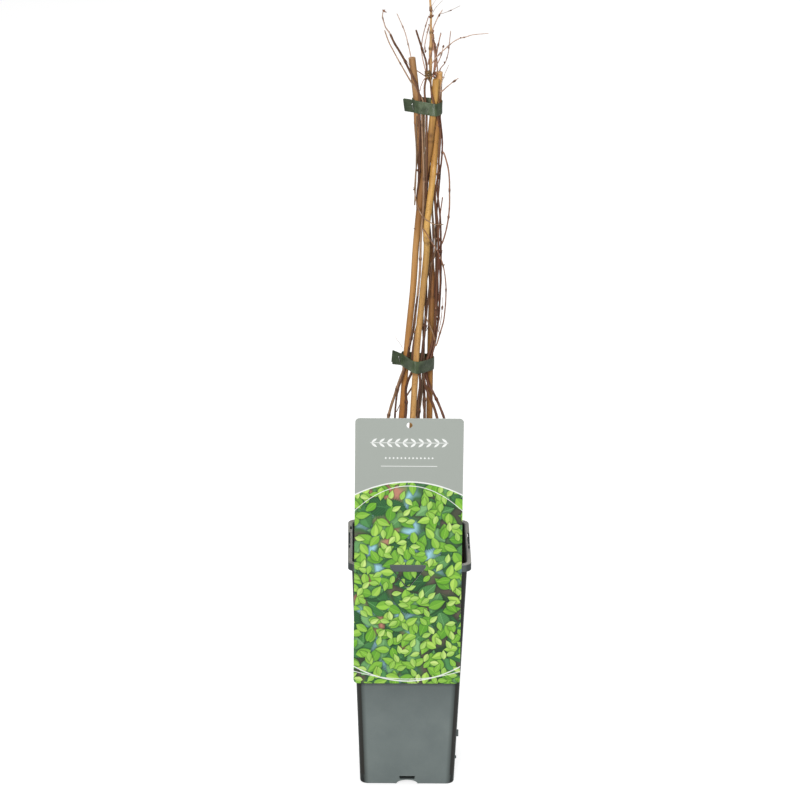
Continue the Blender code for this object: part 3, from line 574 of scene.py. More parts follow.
def pot_look():
    """Recycled dark plastic with flow marks and scuffs. Painted shade darkens its corners, its skirt, a band below
    the card and its inside; its top is paler with dust and painted top light.
    """
    made, tree, shader, place, relief = start_material("pot_plastic", 0.4, 0.25, 0.0002)
    cloud = add_node(tree, "ShaderNodeTexNoise", Scale=38.0, Detail=6.0, Roughness=0.62)
    tree.links.new(place, cloud.inputs["Vector"])
    colour = ramp(tree, cloud.outputs[0], [(0.3, from_srgb(111, 121, 120)), (0.7, from_srgb(120, 130, 128))])
    specks = use_group(tree, SPECKLE, place, Scale=900, Amount=0.35)
    colour = mix_colour(tree, math_node(tree, "MULTIPLY", specks.outputs[0], 0.2), colour,
                        from_srgb(150, 152, 148))
    x, y, height = separate(tree, place)
    # Painted shade: the rounded corners are darkened, the left one more than the right, and so is everything from the
    # skirt's foot up.
    off_corner = math_node(tree, "SUBTRACT", math_node(tree, "ABSOLUTE", x), math_node(tree, "ABSOLUTE", y))
    shade = map_range(tree, math_node(tree, "ABSOLUTE", off_corner), 3 * MM, 8.5 * MM)
    shade = math_node(tree, "MULTIPLY", math_node(tree, "SUBTRACT", 1.0, shade),
                      map_range(tree, x, -10 * MM, 10 * MM, 0.86, 0.72))
    painted_skirt_shade = map_range(tree, height, 222.4 * MM, 223 * MM, 0.0, 0.4)
    colour = mix_colour(tree, math_node(tree, "MAXIMUM", shade, painted_skirt_shade), colour, from_srgb(48, 55, 52))
    # Painted shadow of the card: the pot is darkened from 66 mm up to 108 mm, where the card's foot hangs.
    colour = mix_colour(tree, map_range(tree, height, 66 * MM, 108 * MM, 0.0, 0.3), colour, from_srgb(52, 62, 62))
    # Painted shade in the recesses: inside the wall and below 9 mm, the floor, the drain covers and the underside are
    # darkened.
    reach = math_node(tree, "MAXIMUM", math_node(tree, "ABSOLUTE", x), math_node(tree, "ABSOLUTE", y))
    painted_recess_shade = map_range(tree, reach, 43.4 * MM, 43.6 * MM, 0.85, 0.0)
    low_part = map_range(tree, height, 9 * MM, 9.2 * MM, 1.0, 0.0)
    colour = mix_colour(tree, math_node(tree, "MULTIPLY", painted_recess_shade, low_part), colour, from_srgb(30, 34, 33))
    # Painted shade on the inside of the wall, from 9 mm up to just under the rim.
    wall = math_node(tree, "MULTIPLY_ADD", height, (BODY_TOP_HALF - BODY_FOOT_HALF) / POT_HEIGHT, BODY_FOOT_HALF)
    inner = map_range(tree, math_node(tree, "SUBTRACT", reach, wall), -1.0 * MM, -0.7 * MM, 0.75, 0.0)
    inner = math_node(tree, "MULTIPLY", inner, map_range(tree, height, 228.9 * MM, 229.4 * MM, 1.0, 0.0))
    colour = mix_colour(tree, math_node(tree, "MULTIPLY", inner, map_range(tree, height, 9 * MM, 9.2 * MM)),
                        colour, from_srgb(34, 28, 22))
    # The rim's top is made paler in patches: partly dust and partly painted top light.
    worn = map_range(tree, cloud.outputs[0], 0.35, 0.65, 0.35, 0.85)
    dust_and_top_light = math_node(tree, "MULTIPLY", map_range(tree, height, 229.6 * MM, 229.95 * MM), worn)
    colour = mix_colour(tree, dust_and_top_light, colour, from_srgb(146, 142, 130))
    tree.links.new(colour, shader.inputs["Base Color"])
    tree.links.new(map_range(tree, cloud.outputs[0], 0.0, 1.0, 0.32, 0.55), shader.inputs["Roughness"])
    tree.links.new(cloud.outputs[0], relief.inputs["Height"])
    return made


def compost_look():
    made, tree, shader, place, relief = start_material("compost", 0.95, 1.0, 0.001)
    crumbs = add_node(tree, "ShaderNodeTexVoronoi", Scale=420.0, Randomness=1.0)
    tree.links.new(place, crumbs.inputs["Vector"])
    tone = add_node(tree, "ShaderNodeTexNoise", Scale=160.0, Detail=5.0)
    tree.links.new(place, tone.inputs["Vector"])
    colour = ramp(tree, tone.outputs[0], [(0.35, from_srgb(30, 21, 15)), (0.7, from_srgb(74, 54, 38))])
    tree.links.new(colour, shader.inputs["Base Color"])
    tree.links.new(crumbs.outputs["Distance"], relief.inputs["Height"])
    return made


def tape_look():
    """Thin green plastic tape, with fine lines along its length, pale streaks of painted highlight, and its flag
    darkened by painted shade.
    """
    made, tree, shader, place, relief = start_material("tape_green", 0.34, 0.6, 0.00015)
    lines_node = add_node(tree, "ShaderNodeTexWave", {"bands_direction": "Z"}, Scale=420.0, Distortion=1.2)
    tree.links.new(place, lines_node.inputs["Vector"])
    wear = add_node(tree, "ShaderNodeTexNoise", Scale=120.0, Detail=4.0)
    tree.links.new(place, wear.inputs["Vector"])
    colour = ramp(tree, wear.outputs[0], [(0.35, from_srgb(56, 70, 44)), (0.72, from_srgb(96, 112, 80))])
    # Painted highlight: pale streaks that run along the tape.
    highlight_streaks = add_node(tree, "ShaderNodeTexNoise", Scale=1.0, Detail=3.0)
    tree.links.new(vector_math(tree, "MULTIPLY", place, (90, 90, 700)), highlight_streaks.inputs["Vector"])
    streak = map_range(tree, highlight_streaks.outputs[0], 0.6, 0.76, 0.0, 0.3)
    colour = mix_colour(tree, streak, colour, from_srgb(158, 164, 148))
    # Painted shade: the flag, where the tape's two ends lie together, is darkened, and it is made rougher.
    flag = add_node(tree, "ShaderNodeAttribute", {"attribute_name": "flag"})
    colour = mix_colour(tree, math_node(tree, "MULTIPLY", flag.outputs["Fac"], 0.6), colour, from_srgb(38, 48, 32))
    tree.links.new(map_range(tree, flag.outputs["Fac"], 0.0, 1.0, 0.34, 0.8), shader.inputs["Roughness"])
    tree.links.new(colour, shader.inputs["Base Color"])
    tree.links.new(lines_node.outputs["Fac"], relief.inputs["Height"])
    return made


def wire_look():
    made, tree, shader, place, relief = start_material("staple_wire", 0.3, 0.2, 0.00005)
    shader.inputs["Metallic"].default_value = 1.0
    tone = add_node(tree, "ShaderNodeTexNoise", Scale=2500.0)
    tree.links.new(place, tone.inputs["Vector"])
    colour = ramp(tree, tone.outputs[0], [(0.3, from_srgb(168, 168, 165)), (0.7, from_srgb(208, 208, 204))])
    tree.links.new(colour, shader.inputs["Base Color"])
    tree.links.new(tone.outputs[0], relief.inputs["Height"])
    return made


POT_PLASTIC, COMPOST, TAPE, WIRE = pot_look(), compost_look(), tape_look(), wire_look()
print("plastic, compost, tape and wire finishes")

# %% [markdown]
# ## Round tubes on the frame's lines
#
# A stem is a tube whose thickness changes along its way: it swells at each joint, wanders a
# little, and ends in a rounded tip. A path curve can hold all of that, because every point has
# its own radius. The curve is then converted to a mesh, its two end caps are welded on, and a
# point attribute named joint remembers where the joints are, for the material.

# %% From a line to a tube
def fine_line(points, radii, step):
    """The line made smooth, with a point at every step, and its radii."""
    ends = np.vstack([2 * points[0] - points[1], points, 2 * points[-1] - points[-2]])
    curve, reach = [], []
    for i in range(len(points) - 1):
        a, b, c, d = ends[i:i + 4]
        for t in np.linspace(0, 1, 10, endpoint=False):
            bend = 2 * b + (c - a) * t + (2 * a - 5 * b + 4 * c - d) * t**2
            curve.append((bend + (3 * b - a - 3 * c + d) * t**3) / 2)
            reach.append(radii[i] + (radii[i + 1] - radii[i]) * t)
    curve, reach = np.array(curve + [points[-1]]), np.array(reach + [radii[-1]])
    run = np.append(0, np.cumsum(np.linalg.norm(np.diff(curve, axis=0), axis=1)))
    at = np.linspace(0, run[-1], max(4, round(run[-1] / step) + 1))
    line = np.stack([np.interp(at, run, curve[:, axis]) for axis in range(3)], axis=1)
    return line, np.interp(at, run, reach), at


def sweep(name, line, radii, joints, ridges):
    """A mesh tube through the points, with the joint attribute."""
    bpy.ops.curve.primitive_nurbs_path_add(location=(0, 0, 0))
    path = bpy.context.object
    path.name = name
    curve = path.data
    curve.splines.clear()
    spline = curve.splines.new("POLY")
    spline.points.add(len(line) - 1)
    spline.points.foreach_set("co", np.hstack([line, np.ones((len(line), 1))]).ravel())
    spline.points.foreach_set("radius", radii / MM)
    curve.bevel_depth = MM
    curve.bevel_resolution = ridges
    curve.use_fill_caps = True
    bpy.ops.object.convert(target="MESH")
    bpy.ops.object.mode_set(mode="EDIT")
    bpy.ops.mesh.select_all(action="SELECT")
    bpy.ops.mesh.remove_doubles(threshold=0.001 * MM)
    bpy.ops.mesh.normals_make_consistent(inside=False)
    bpy.ops.object.mode_set(mode="OBJECT")
    bpy.ops.object.shade_smooth_by_angle(angle=math.radians(50))
    finder = kdtree.KDTree(len(line))
    for i, point in enumerate(line):
        finder.insert(point, i)
    finder.balance()
    marks = [joints[finder.find(v.co)[1]] for v in path.data.vertices]
    path.data.attributes.new("joint", "FLOAT", "POINT").data.foreach_set("value", marks)
    return path


def rounded_ends(radii, at, foot_length, tip_length):
    """Shrinks the radii to a rounded tip, and to a rounded foot where a length is given."""
    shaped = radii.copy()
    for length, distance in ((foot_length, at), (tip_length, at[-1] - at)):
        if length > 0:
            share = np.clip(distance / length, 0, 1)
            shaped *= np.sqrt(np.clip(1 - (1 - share) ** 2, 0.02, 1))
    return shaped


def add_joints(radii, at, places, swell, length):
    """Swells the radii at the given distances. Returns them and the joint values, 0 to 1."""
    joints = np.zeros_like(at)
    for place in places:
        joints = np.maximum(joints, np.exp(-((at - place) / length) ** 2))
    return radii * (1 + swell * joints), joints


# %% [markdown]
# ## Bamboo canes
#
# A bamboo cane has a joint every hand's width or so: a narrow ridge with a pale scar below it,
# where the leaf sheath sat. Between joints it is nearly straight and slightly waisted. The cut
# top shows the hollow, so the last faces are inset and pushed down.

# %% Canes
CANE_JOINTS = {
    "cane_left": (0.290, 0.412, 0.560, 0.626),
    "cane_right": (0.318, 0.472, 0.640),
    "cane_front": (0.262, 0.405, 0.530, 0.655),
}


# Dark stains as they show in the photograph: middle and reach in millimetres
CANE_STAINS = {
    "cane_left": [((15.5, -6, 630), 3.6)],
    "cane_right": [((-5.2, 2.0, 687), 4.2), ((16, 9, 474), 3.5)],
    "cane_front": [((12, -8, 533), 2.6), ((14, -7, 527), 2.0)],
}


def stain_cane(cane, name):
    """Adds stains to the joint attribute, stronger near each stain's middle."""
    marks = cane.data.attributes["joint"].data
    for vertex in cane.data.vertices:
        for middle, reach in CANE_STAINS[name]:
            near = 1 - (vertex.co / MM - Vector(middle)).length / reach
            marks[vertex.index].value = max(marks[vertex.index].value, min(0.9, 1.6 * near))


def make_cane(name):
    points, radii = lines[name]
    if points[0][2] > points[-1][2]:
        points, radii = points[::-1], radii[::-1]
    line, radii, at = fine_line(points, radii, 1.5 * MM)
    places = [np.interp(z, line[:, 2], at) for z in CANE_JOINTS[name]]
    for place in places:
        ridge = np.exp(-((at - place) / (1.1 * MM)) ** 2)
        scar = np.exp(-((at - place + 2.6 * MM) / (1.2 * MM)) ** 2)
        radii = radii * (1 + 0.09 * ridge - 0.035 * scar)
    joints = np.zeros_like(at)
    for place in places:
        joints = np.maximum(joints, 0.7 * np.exp(-((at - place + 1.6 * MM) / (1.4 * MM)) ** 2))
    cane = sweep(name + "_bamboo", line, radii, joints, 6)
    stain_cane(cane, name)
    pick(cane)
    top = line[-1]
    bpy.ops.object.mode_set(mode="EDIT")
    bpy.ops.mesh.select_all(action="DESELECT")
    bpy.ops.object.mode_set(mode="OBJECT")
    for face in cane.data.polygons:
        face.select = len(face.vertices) > 4 and (face.center - Vector(top)).length < 2 * MM
    bpy.ops.object.mode_set(mode="EDIT")
    bpy.ops.mesh.select_mode(type="FACE")
    bpy.ops.mesh.inset(thickness=0.35 * MM)
    bpy.ops.mesh.inset(thickness=1.0 * MM)
    bpy.ops.transform.translate(value=(0, 0, -1.2 * MM))
    bpy.ops.object.mode_set(mode="OBJECT")
    return finish_piece(cane, BAMBOO[name], [name])


canes = [make_cane(name) for name in CANES]
print("canes:", [len(cane.data.polygons) for cane in canes], "faces")

# %% [markdown]
# ## Bines
#
# A dormant bine is a woody strand, thick as a pencil lead. It has paired joints a hand apart,
# where the leaves sat, and it is a little crooked between them. Each strand follows its frame
# tube, with its own joints and bark finish. Where it forks off another stem, its line is led back
# to that stem's middle, so that the two grow together.

# %% Bines
BINE_FINISH = {
    "bine_1": "tan", "bine_2": "dark_to_pale", "bine_3": "dark", "bine_4": "grey", "bine_5": "leader",
    "bine_6": "red_to_hair", "bine_7": "dark", "bine_8": "dark", "loop_bine": "brown",
    "side_bine": "brown", "tendril": "tan",
}
# Heights and how thick the strand is there, where that differs from the frame
THICKNESS = {
    "bine_1": [(0.66, 1), (0.70, 0.75)], "bine_2": [(0.675, 1), (0.695, 0.62)],
    "bine_5": [(0.685, 1), (0.695, 1.75), (0.72, 1.8), (0.73, 1.25)], "bine_6": [(0.665, 1), (0.68, 0.5)],
    "twig_leader_long": [(0.744, 0.75)], "twig_leader_top": [(0.744, 0.6)], "twig_bud_back": [(0.71, 1.3)],
    "twig_knot_right": [(0.69, 1.9), (0.712, 1.7), (0.72, 1.2)],
}
BINE_JOINTS = {
    "bine_1": (0.245, 0.300, 0.355, 0.381, 0.432, 0.513, 0.590, 0.640, 0.697),
    "bine_2": (0.250, 0.318, 0.368, 0.440, 0.521, 0.600, 0.672, 0.703, 0.714),
    "bine_3": (0.262, 0.330, 0.366, 0.446, 0.512, 0.585, 0.655, 0.688, 0.713),
    "bine_4": (0.238, 0.310, 0.363, 0.444, 0.497, 0.532, 0.577),
    "bine_5": (0.240, 0.300, 0.352, 0.402, 0.460, 0.528, 0.592, 0.640, 0.687, 0.712, 0.727, 0.742, 0.749),
    "bine_6": (0.256, 0.322, 0.371, 0.449, 0.515, 0.590, 0.613, 0.655, 0.683),
    "bine_7": (0.244, 0.312, 0.372, 0.456, 0.540, 0.595, 0.652, 0.702),
    "bine_8": (0.250, 0.328, 0.381, 0.424, 0.470),
    "loop_bine": (0.436, 0.480, 0.505, 0.532),
    "side_bine": (0.575, 0.548, 0.505, 0.459),
    "tendril": (0.576, 0.553),
}


FORKS = {
    "loop_bine": "bine_6", "side_bine": "bine_6", "tendril": "bine_7", "twig_far_left": "bine_7",
    "twig_knot_left": "bine_5", "twig_knot_front": "bine_5", "twig_knot_right": "bine_5",
    "twig_leader_right": "bine_5", "twig_leader_long": "twig_leader_right", "twig_leader_top": "bine_5",
    "twig_leader_left": "bine_3", "twig_leader_front": "bine_5", "twig_bud_back": "twig_knot_right",
    "twig_bud_right": "twig_knot_right", "twig_arch": "bine_5", "twig_low_right": "bine_6",
}


def rooted(name):
    """The strand's line and radii, led back to the middle of the stem that it forks from."""
    points, radii = lines[name]
    if name not in FORKS:
        return points, radii
    stem = fine_line(*lines[FORKS[name]], 0.5 * MM)[0]
    if np.linalg.norm(stem - points[-1], axis=1).min() < np.linalg.norm(stem - points[0], axis=1).min():
        points, radii = points[::-1], radii[::-1]
    nearest = stem[np.linalg.norm(stem - points[0], axis=1).argmin()]
    return np.vstack([nearest, points]), np.append(1.4 * radii[0], radii)


def joint_distances(line, at, heights):
    """The distances along the line where it crosses the heights."""
    found = []
    for height in heights:
        side = line[:, 2] > height
        crossings = np.nonzero(side[1:] != side[:-1])[0]
        if len(crossings):
            found.append(at[crossings[0]])
    return found


def make_strand(name, finish, joint_heights, step, ridges, swell=0.42, wander=0.10):
    """A bark tube on a frame line, a little crooked, swollen at its joints."""
    points, radii = rooted(name)
    line, radii, at = fine_line(points, radii, step)
    seed = sum(ord(letter) for letter in name) * 0.37
    for i, s in enumerate(at):
        drift = noise.noise_vector(Vector((s / (9 * MM), seed, 0)))
        line[i] += np.array(drift) * wander * MM
        radii[i] *= 1 + 0.13 * noise.noise(Vector((s / (4 * MM), seed, 7)))
    if name in THICKNESS:
        heights, shares = zip(*THICKNESS[name])
        radii = radii * np.interp(line[:, 2], heights, shares)
    places = joint_distances(line, at, joint_heights)
    radii, joints = add_joints(radii, at, places, swell, 1.5 * MM)
    radii = rounded_ends(radii, at, 0.8 * MM, 1.6 * MM)
    strand = sweep(name + "_bark", line, radii, joints, ridges)
    return finish_piece(strand, BARK[finish], [name])


bines = [make_strand(name, BINE_FINISH[name], BINE_JOINTS[name], 1.0 * MM, 4) for name in BINES]
print("bines:", sum(len(bine.data.polygons) for bine in bines), "faces")

# %% Twigs
TWIG_FINISH = {
    "twig_leader_long": "hair", "twig_leader_top": "hair", "twig_bud_back": "brown",
    "twig_knot_right": "brown", "twig_knot_front": "brown", "twig_knot_left": "brown",
}
TWIG_JOINTS = {
    "twig_arch": (0.707, 0.716, 0.7225), "twig_bud_right": (0.704,),
    "twig_leader_right": (0.741,), "twig_leader_long": (0.747,), "twig_low_right": (0.6839,),
    "twig_leader_left": (0.709, 0.731), "twig_leader_front": (0.713, 0.729),
    "twig_left_back": (0.655, 0.690, 0.7125, 0.728), "twig_far_left": (0.7475,),
    "twig_knot_right": (0.7115,), "twig_knot_front": (0.7195,), "twig_bud_back": (0.7135,),
}
twigs = [make_strand(name, TWIG_FINISH.get(name, "pale"), TWIG_JOINTS.get(name, ()), 0.6 * MM, 2,
                     swell=0.6, wander=0.06) for name in TWIGS]
print("twigs:", sum(len(twig.data.polygons) for twig in twigs), "faces")

# %% [markdown]
# ## The picture card
#
# A plant label is a thin plastic card, printed on its front. It hangs by a tongue: a V cut in the
# card itself, folded back over the rim and down into the rim's slot, so a window is left where
# the tongue was. The card could be one extruded outline. Here it is a plane whose corners are
# rounded by a vertex bevel, and the window and the hang hole are cut with two small solids,
# because each of those is easy to see and to change.

# %% Helpers for plates
def select_numbers(piece, numbers):
    """Goes to edit mode with only the points of the given numbers selected."""
    pick(piece)
    bpy.ops.object.mode_set(mode="EDIT")
    bpy.ops.mesh.select_mode(type="VERT")
    bpy.ops.mesh.select_all(action="DESELECT")
    bpy.ops.object.mode_set(mode="OBJECT")
    for number in numbers:
        piece.data.vertices[number].select = True
    bpy.ops.object.mode_set(mode="EDIT")


def select_points(piece, test):
    """Goes to edit mode with only the points selected whose place passes the test."""
    if bpy.context.mode != "OBJECT":
        bpy.ops.object.mode_set(mode="OBJECT")
    select_numbers(piece, [vertex.index for vertex in piece.data.vertices if test(vertex.co)])


def upright_plane(name, wide, tall, middle):
    """A rectangle that faces the front, one face."""
    clear_selection()
    bpy.ops.mesh.primitive_plane_add(size=1, location=middle, rotation=(math.radians(90), 0, 0))
    plate = bpy.context.object
    plate.name = name
    plate.scale = (wide, tall, 1)
    bpy.ops.object.transform_apply(location=True, rotation=True, scale=True)
    return plate


def thicken(piece, thickness):
    """Gives a sheet its thickness, half to each side."""
    bpy.ops.object.mode_set(mode="OBJECT")
    wall = piece.modifiers.new("Thickness", "SOLIDIFY")
    wall.thickness = thickness
    wall.offset = 0
    wall.use_even_offset = True
    apply_all(piece)


def combine(piece, tool, operation):
    """Cuts the tool out of the piece, or joins it on, and removes the tool."""
    knife = piece.modifiers.new("Combine", "BOOLEAN")
    knife.operation = operation
    knife.object = tool
    apply_all(piece)
    bpy.data.objects.remove(tool, do_unlink=True)


def soften_edges(piece, width, segments=2, angle=35):
    """Rounds every edge that is sharper than the angle."""
    edge = piece.modifiers.new("Soft_edges", "BEVEL")
    edge.width = width
    edge.segments = segments
    edge.limit_method = "ANGLE"
    edge.angle_limit = math.radians(angle)
    apply_all(piece)
    bpy.ops.object.shade_smooth_by_angle(angle=math.radians(angle))


def even_shading(piece):
    """Lets the large flat faces set the normals at their edges, so that they shade flat."""
    even = piece.modifiers.new("Even_shading", "WEIGHTED_NORMAL")
    even.weight = 100
    even.keep_sharp = True
    apply_all(piece)


# %% The card
card_low, card_high = (Vector(corner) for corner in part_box("label"))
CARD_THICKNESS = 0.5 * MM
CARD_X = (card_low.x + card_high.x) / 2
CARD_Y = card_low.y + CARD_THICKNESS / 2
CARD_WIDTH = card_high.x - card_low.x
CARD_CORNER = 4 * MM
HOLE_RADIUS, HOLE_BELOW_TOP = 2.75 * MM, 6.8 * MM
HINGE = 230.4 * MM
TONGUE_HALF, TONGUE_STRAIGHT, TONGUE_LEAN = 16.7 * MM, 2.7 * MM, math.radians(36.63)
TONGUE_TIP_CUT = 4.3 * MM
TONGUE_KERF = 0.5 * MM
# The tongue's way over the rim and down its slot, as (y, z)
TONGUE_FOLD = [(-58.1, 230.75), (-57.7, 231.1), (-57.0, 231.3), (-56.2, 231.2), (-55.6, 230.8),
               (-55.35, 230.1), (-55.35, 228.8), (-55.35, 227.7)]
TONGUE_END = 207.6 * MM


def make_card():
    middle = (CARD_X, CARD_Y, (card_low.z + card_high.z) / 2)
    card = upright_plane("picture_card", CARD_WIDTH, card_high.z - card_low.z, middle)
    select_points(card, lambda point: True)
    bpy.ops.mesh.bevel(offset=CARD_CORNER, offset_type="OFFSET", segments=8, affect="VERTICES")
    thicken(card, CARD_THICKNESS)

    straight = (CARD_X, CARD_Y, HINGE - TONGUE_STRAIGHT / 2)
    window = upright_plane("window", 2 * TONGUE_HALF, TONGUE_STRAIGHT, straight)
    select_points(window, lambda point: point.z < straight[2])
    drop = TONGUE_HALF / math.tan(TONGUE_LEAN)
    bpy.ops.mesh.extrude_region_move(TRANSFORM_OT_translate={"value": (0, 0, -drop)})
    bpy.ops.mesh.merge(type="CENTER")
    bpy.ops.mesh.bevel(offset=TONGUE_TIP_CUT, offset_type="OFFSET", segments=8, affect="VERTICES")
    thicken(window, 4 * CARD_THICKNESS)
    combine(card, window, "DIFFERENCE")

    clear_selection()
    bpy.ops.mesh.primitive_cylinder_add(vertices=40, radius=HOLE_RADIUS, depth=4 * CARD_THICKNESS,
                                        location=(CARD_X, CARD_Y, card_high.z - HOLE_BELOW_TOP),
                                        rotation=(math.radians(90), 0, 0))
    combine(card, bpy.context.object, "DIFFERENCE")
    combine(card, make_tongue(), "UNION")
    soften_edges(card, 0.1 * MM)
    even_shading(card)
    front = [1.0 if face.normal.y < -0.4 else 0.0 for face in card.data.polygons]
    card.data.attributes.new("printed", "FLOAT", "FACE").data.foreach_set("value", front)
    return card


def make_tongue():
    """A strip that is extruded row by row along the fold, then narrowed to its round tip."""
    rows = [(y * MM, z * MM) for y, z in TONGUE_FOLD]
    wide = 2 * (TONGUE_HALF - TONGUE_KERF)
    drop = rows[1][1] - rows[0][1]
    tongue = upright_plane("tongue", wide, drop, (CARD_X, rows[0][0], rows[0][1] + drop / 2))
    select_points(tongue, lambda point: point.z > rows[0][1] + drop / 2)
    bpy.ops.transform.translate(value=(0, rows[1][0] - rows[0][0], 0))
    for (y, z), (next_y, next_z) in zip(rows[1:], rows[2:]):
        bpy.ops.mesh.extrude_region_move(TRANSFORM_OT_translate={"value": (0, next_y - y, next_z - z)})
    for share, narrow in ((0.86, 0.20), (0.12, 0.45), (0.02, 0.3)):
        depth = (rows[-1][1] - TONGUE_END) * share
        bpy.ops.mesh.extrude_region_move(TRANSFORM_OT_translate={"value": (0, 0, -depth)})
        bpy.ops.transform.resize(value=(narrow, 1, 1))
    thicken(tongue, CARD_THICKNESS)
    return tongue


card = make_card()
print("card:", len(card.data.polygons), "faces,", [round(side / MM, 1) for side in card.dimensions], "mm")

# %% [markdown]
# ## The print on the card
#
# The print is a plain leafy ornament. A grey head has a small sprig, and below a white arch lie
# leaves on leaves, from large dark ones at the back to small pale ones in front. A picture file
# could hold that. A Voronoi texture does it with no file: each of its cells has a middle, where
# one leaf is drawn, and random numbers that turn the leaf and shade it. Five such layers, each
# with its own size and colours, lie on each other, and each throws a soft shade on the one below.

# %% The leaf layer group
def build_leaf_layer():
    group = new_group("leaf_layer",
                      [("Vector", "NodeSocketVector", (0, 0, 0)), ("Scale", "NodeSocketFloat", 60),
                       ("Length", "NodeSocketFloat", 0.48), ("Width", "NodeSocketFloat", 0.2),
                       ("Cover", "NodeSocketFloat", 0.6), ("Under", "NodeSocketColor", (0, 0, 0, 1)),
                       ("Dark", "NodeSocketColor", (0, 0, 0, 1)),
                       ("Light", "NodeSocketColor", (1, 1, 1, 1))],
                      [("Color", "NodeSocketColor")])
    tree, start = group, group.nodes["Group Input"].outputs
    cells = add_node(tree, "ShaderNodeTexVoronoi", {"voronoi_dimensions": "2D"}, Randomness=0.7)
    tree.links.new(start["Vector"], cells.inputs["Vector"])
    tree.links.new(start["Scale"], cells.inputs["Scale"])
    chance = tree.nodes.new("ShaderNodeSeparateColor")
    tree.links.new(cells.outputs["Color"], chance.inputs[0])
    local = vector_math(tree, "SUBTRACT", start["Vector"], cells.outputs["Position"])
    local = vector_math(tree, "SCALE", local, scale=start["Scale"])
    turned = add_node(tree, "ShaderNodeVectorRotate", {"rotation_type": "Z_AXIS"})
    tree.links.new(local, turned.inputs["Vector"])
    tree.links.new(math_node(tree, "MULTIPLY", chance.outputs[0], math.tau), turned.inputs["Angle"])
    along, across, _ = separate(tree, turned.outputs[0])
    share = math_node(tree, "DIVIDE", along, start["Length"])
    away = math_node(tree, "ABSOLUTE", across)
    belly = math_node(tree, "SUBTRACT", 1.0, math_node(tree, "MULTIPLY", share, share))
    taper = math_node(tree, "MULTIPLY_ADD", share, -0.4, 1.0)
    teeth = math_node(tree, "PINGPONG", math_node(tree, "MULTIPLY_ADD", along, 14.0, 30.0), 0.5)
    teeth = math_node(tree, "MULTIPLY_ADD", teeth, 0.3, 0.85)
    wide = math_node(tree, "MULTIPLY", math_node(tree, "MAXIMUM", belly, 0.0), taper)
    wide = math_node(tree, "MULTIPLY", math_node(tree, "MULTIPLY", wide, start["Width"]), teeth)
    inside = math_node(tree, "SUBTRACT", wide, away)
    beyond = math_node(tree, "MAXIMUM", math_node(tree, "SUBTRACT", math_node(tree, "ABSOLUTE", share), 1.0),
                       0.0)
    clumps = add_node(tree, "ShaderNodeTexNoise", {"noise_dimensions": "2D"}, Scale=34.0, Detail=1.0)
    tree.links.new(cells.outputs["Position"], clumps.inputs["Vector"])
    grown = map_range(tree, math_node(tree, "SUBTRACT", start["Cover"], clumps.outputs[0]), 0.0, 0.001)
    mask = math_node(tree, "MULTIPLY", map_range(tree, inside, -0.008, 0.012), grown)
    shade = map_range(tree, math_node(tree, "SUBTRACT", inside, beyond), -0.14, 0.0, 0.0, 0.6)
    shade = math_node(tree, "MULTIPLY", shade, grown)
    under = mix_colour(tree, shade, start["Under"], (0.01, 0.03, 0.012))
    leaf = mix_colour(tree, chance.outputs[1], start["Dark"], start["Light"])
    half = map_range(tree, across, -0.015, 0.015, 0.0, 0.45)
    leaf = mix_colour(tree, half, leaf, start["Dark"])
    ribs = math_node(tree, "PINGPONG", math_node(tree, "MULTIPLY_ADD", away, -0.9, along), 0.045)
    ribs = map_range(tree, ribs, 0.0, 0.012, 0.35, 0.0)
    middle = map_range(tree, away, 0.004, 0.014, 0.7, 0.0)
    leaf = mix_colour(tree, math_node(tree, "MAXIMUM", ribs, middle), leaf, start["Light"])
    rim = map_range(tree, inside, 0.0, 0.07, 0.5, 0.0)
    leaf = mix_colour(tree, rim, leaf, start["Dark"])
    tree.links.new(mix_colour(tree, mask, under, leaf), group.nodes["Group Output"].inputs["Color"])
    return group


LEAF_LAYER = build_leaf_layer()
print("leaf layer group:", len(LEAF_LAYER.nodes), "nodes")

# %% The card's material
# Each layer: cells a metre, leaf half length and half width in cells, cover, dark and light colour,
# and how the layer is turned and moved
LEAF_LAYERS = [
    (34, 0.54, 0.34, 0.66, from_srgb(30, 84, 42), from_srgb(84, 150, 84), 20, 0.11),
    (44, 0.52, 0.30, 0.58, from_srgb(56, 122, 54), from_srgb(140, 196, 128), 65, 0.37),
    (58, 0.50, 0.28, 0.62, from_srgb(84, 156, 40), from_srgb(158, 214, 76), 110, 0.23),
    (72, 0.50, 0.27, 0.58, from_srgb(100, 172, 36), from_srgb(188, 228, 102), 150, 0.51),
    (98, 0.48, 0.26, 0.55, from_srgb(126, 190, 52), from_srgb(212, 238, 140), 200, 0.77),
]
ARCH_TOP, ARCH_FALL = 313 * MM, 13 * MM
SPRIG_HEIGHT, SPRIG_HALF, SPRIG_STEP = 351.5 * MM, 36 * MM, 7.2 * MM
DIAMOND_HEIGHT, DIAMOND_HALF, DIAMOND_STEP = 336.5 * MM, 23 * MM, 3.6 * MM
RULE_HEIGHT, RULE_HALF = 328.5 * MM, 26 * MM
HEAD_GREY, INK_WHITE = from_srgb(168, 174, 167), from_srgb(244, 246, 243)


def thin_line(tree, height, level, half_width):
    """1 where the height is within the half width of the level."""
    distance = math_node(tree, "ABSOLUTE", math_node(tree, "SUBTRACT", height, level))
    return map_range(tree, distance, half_width, half_width * 0.6)


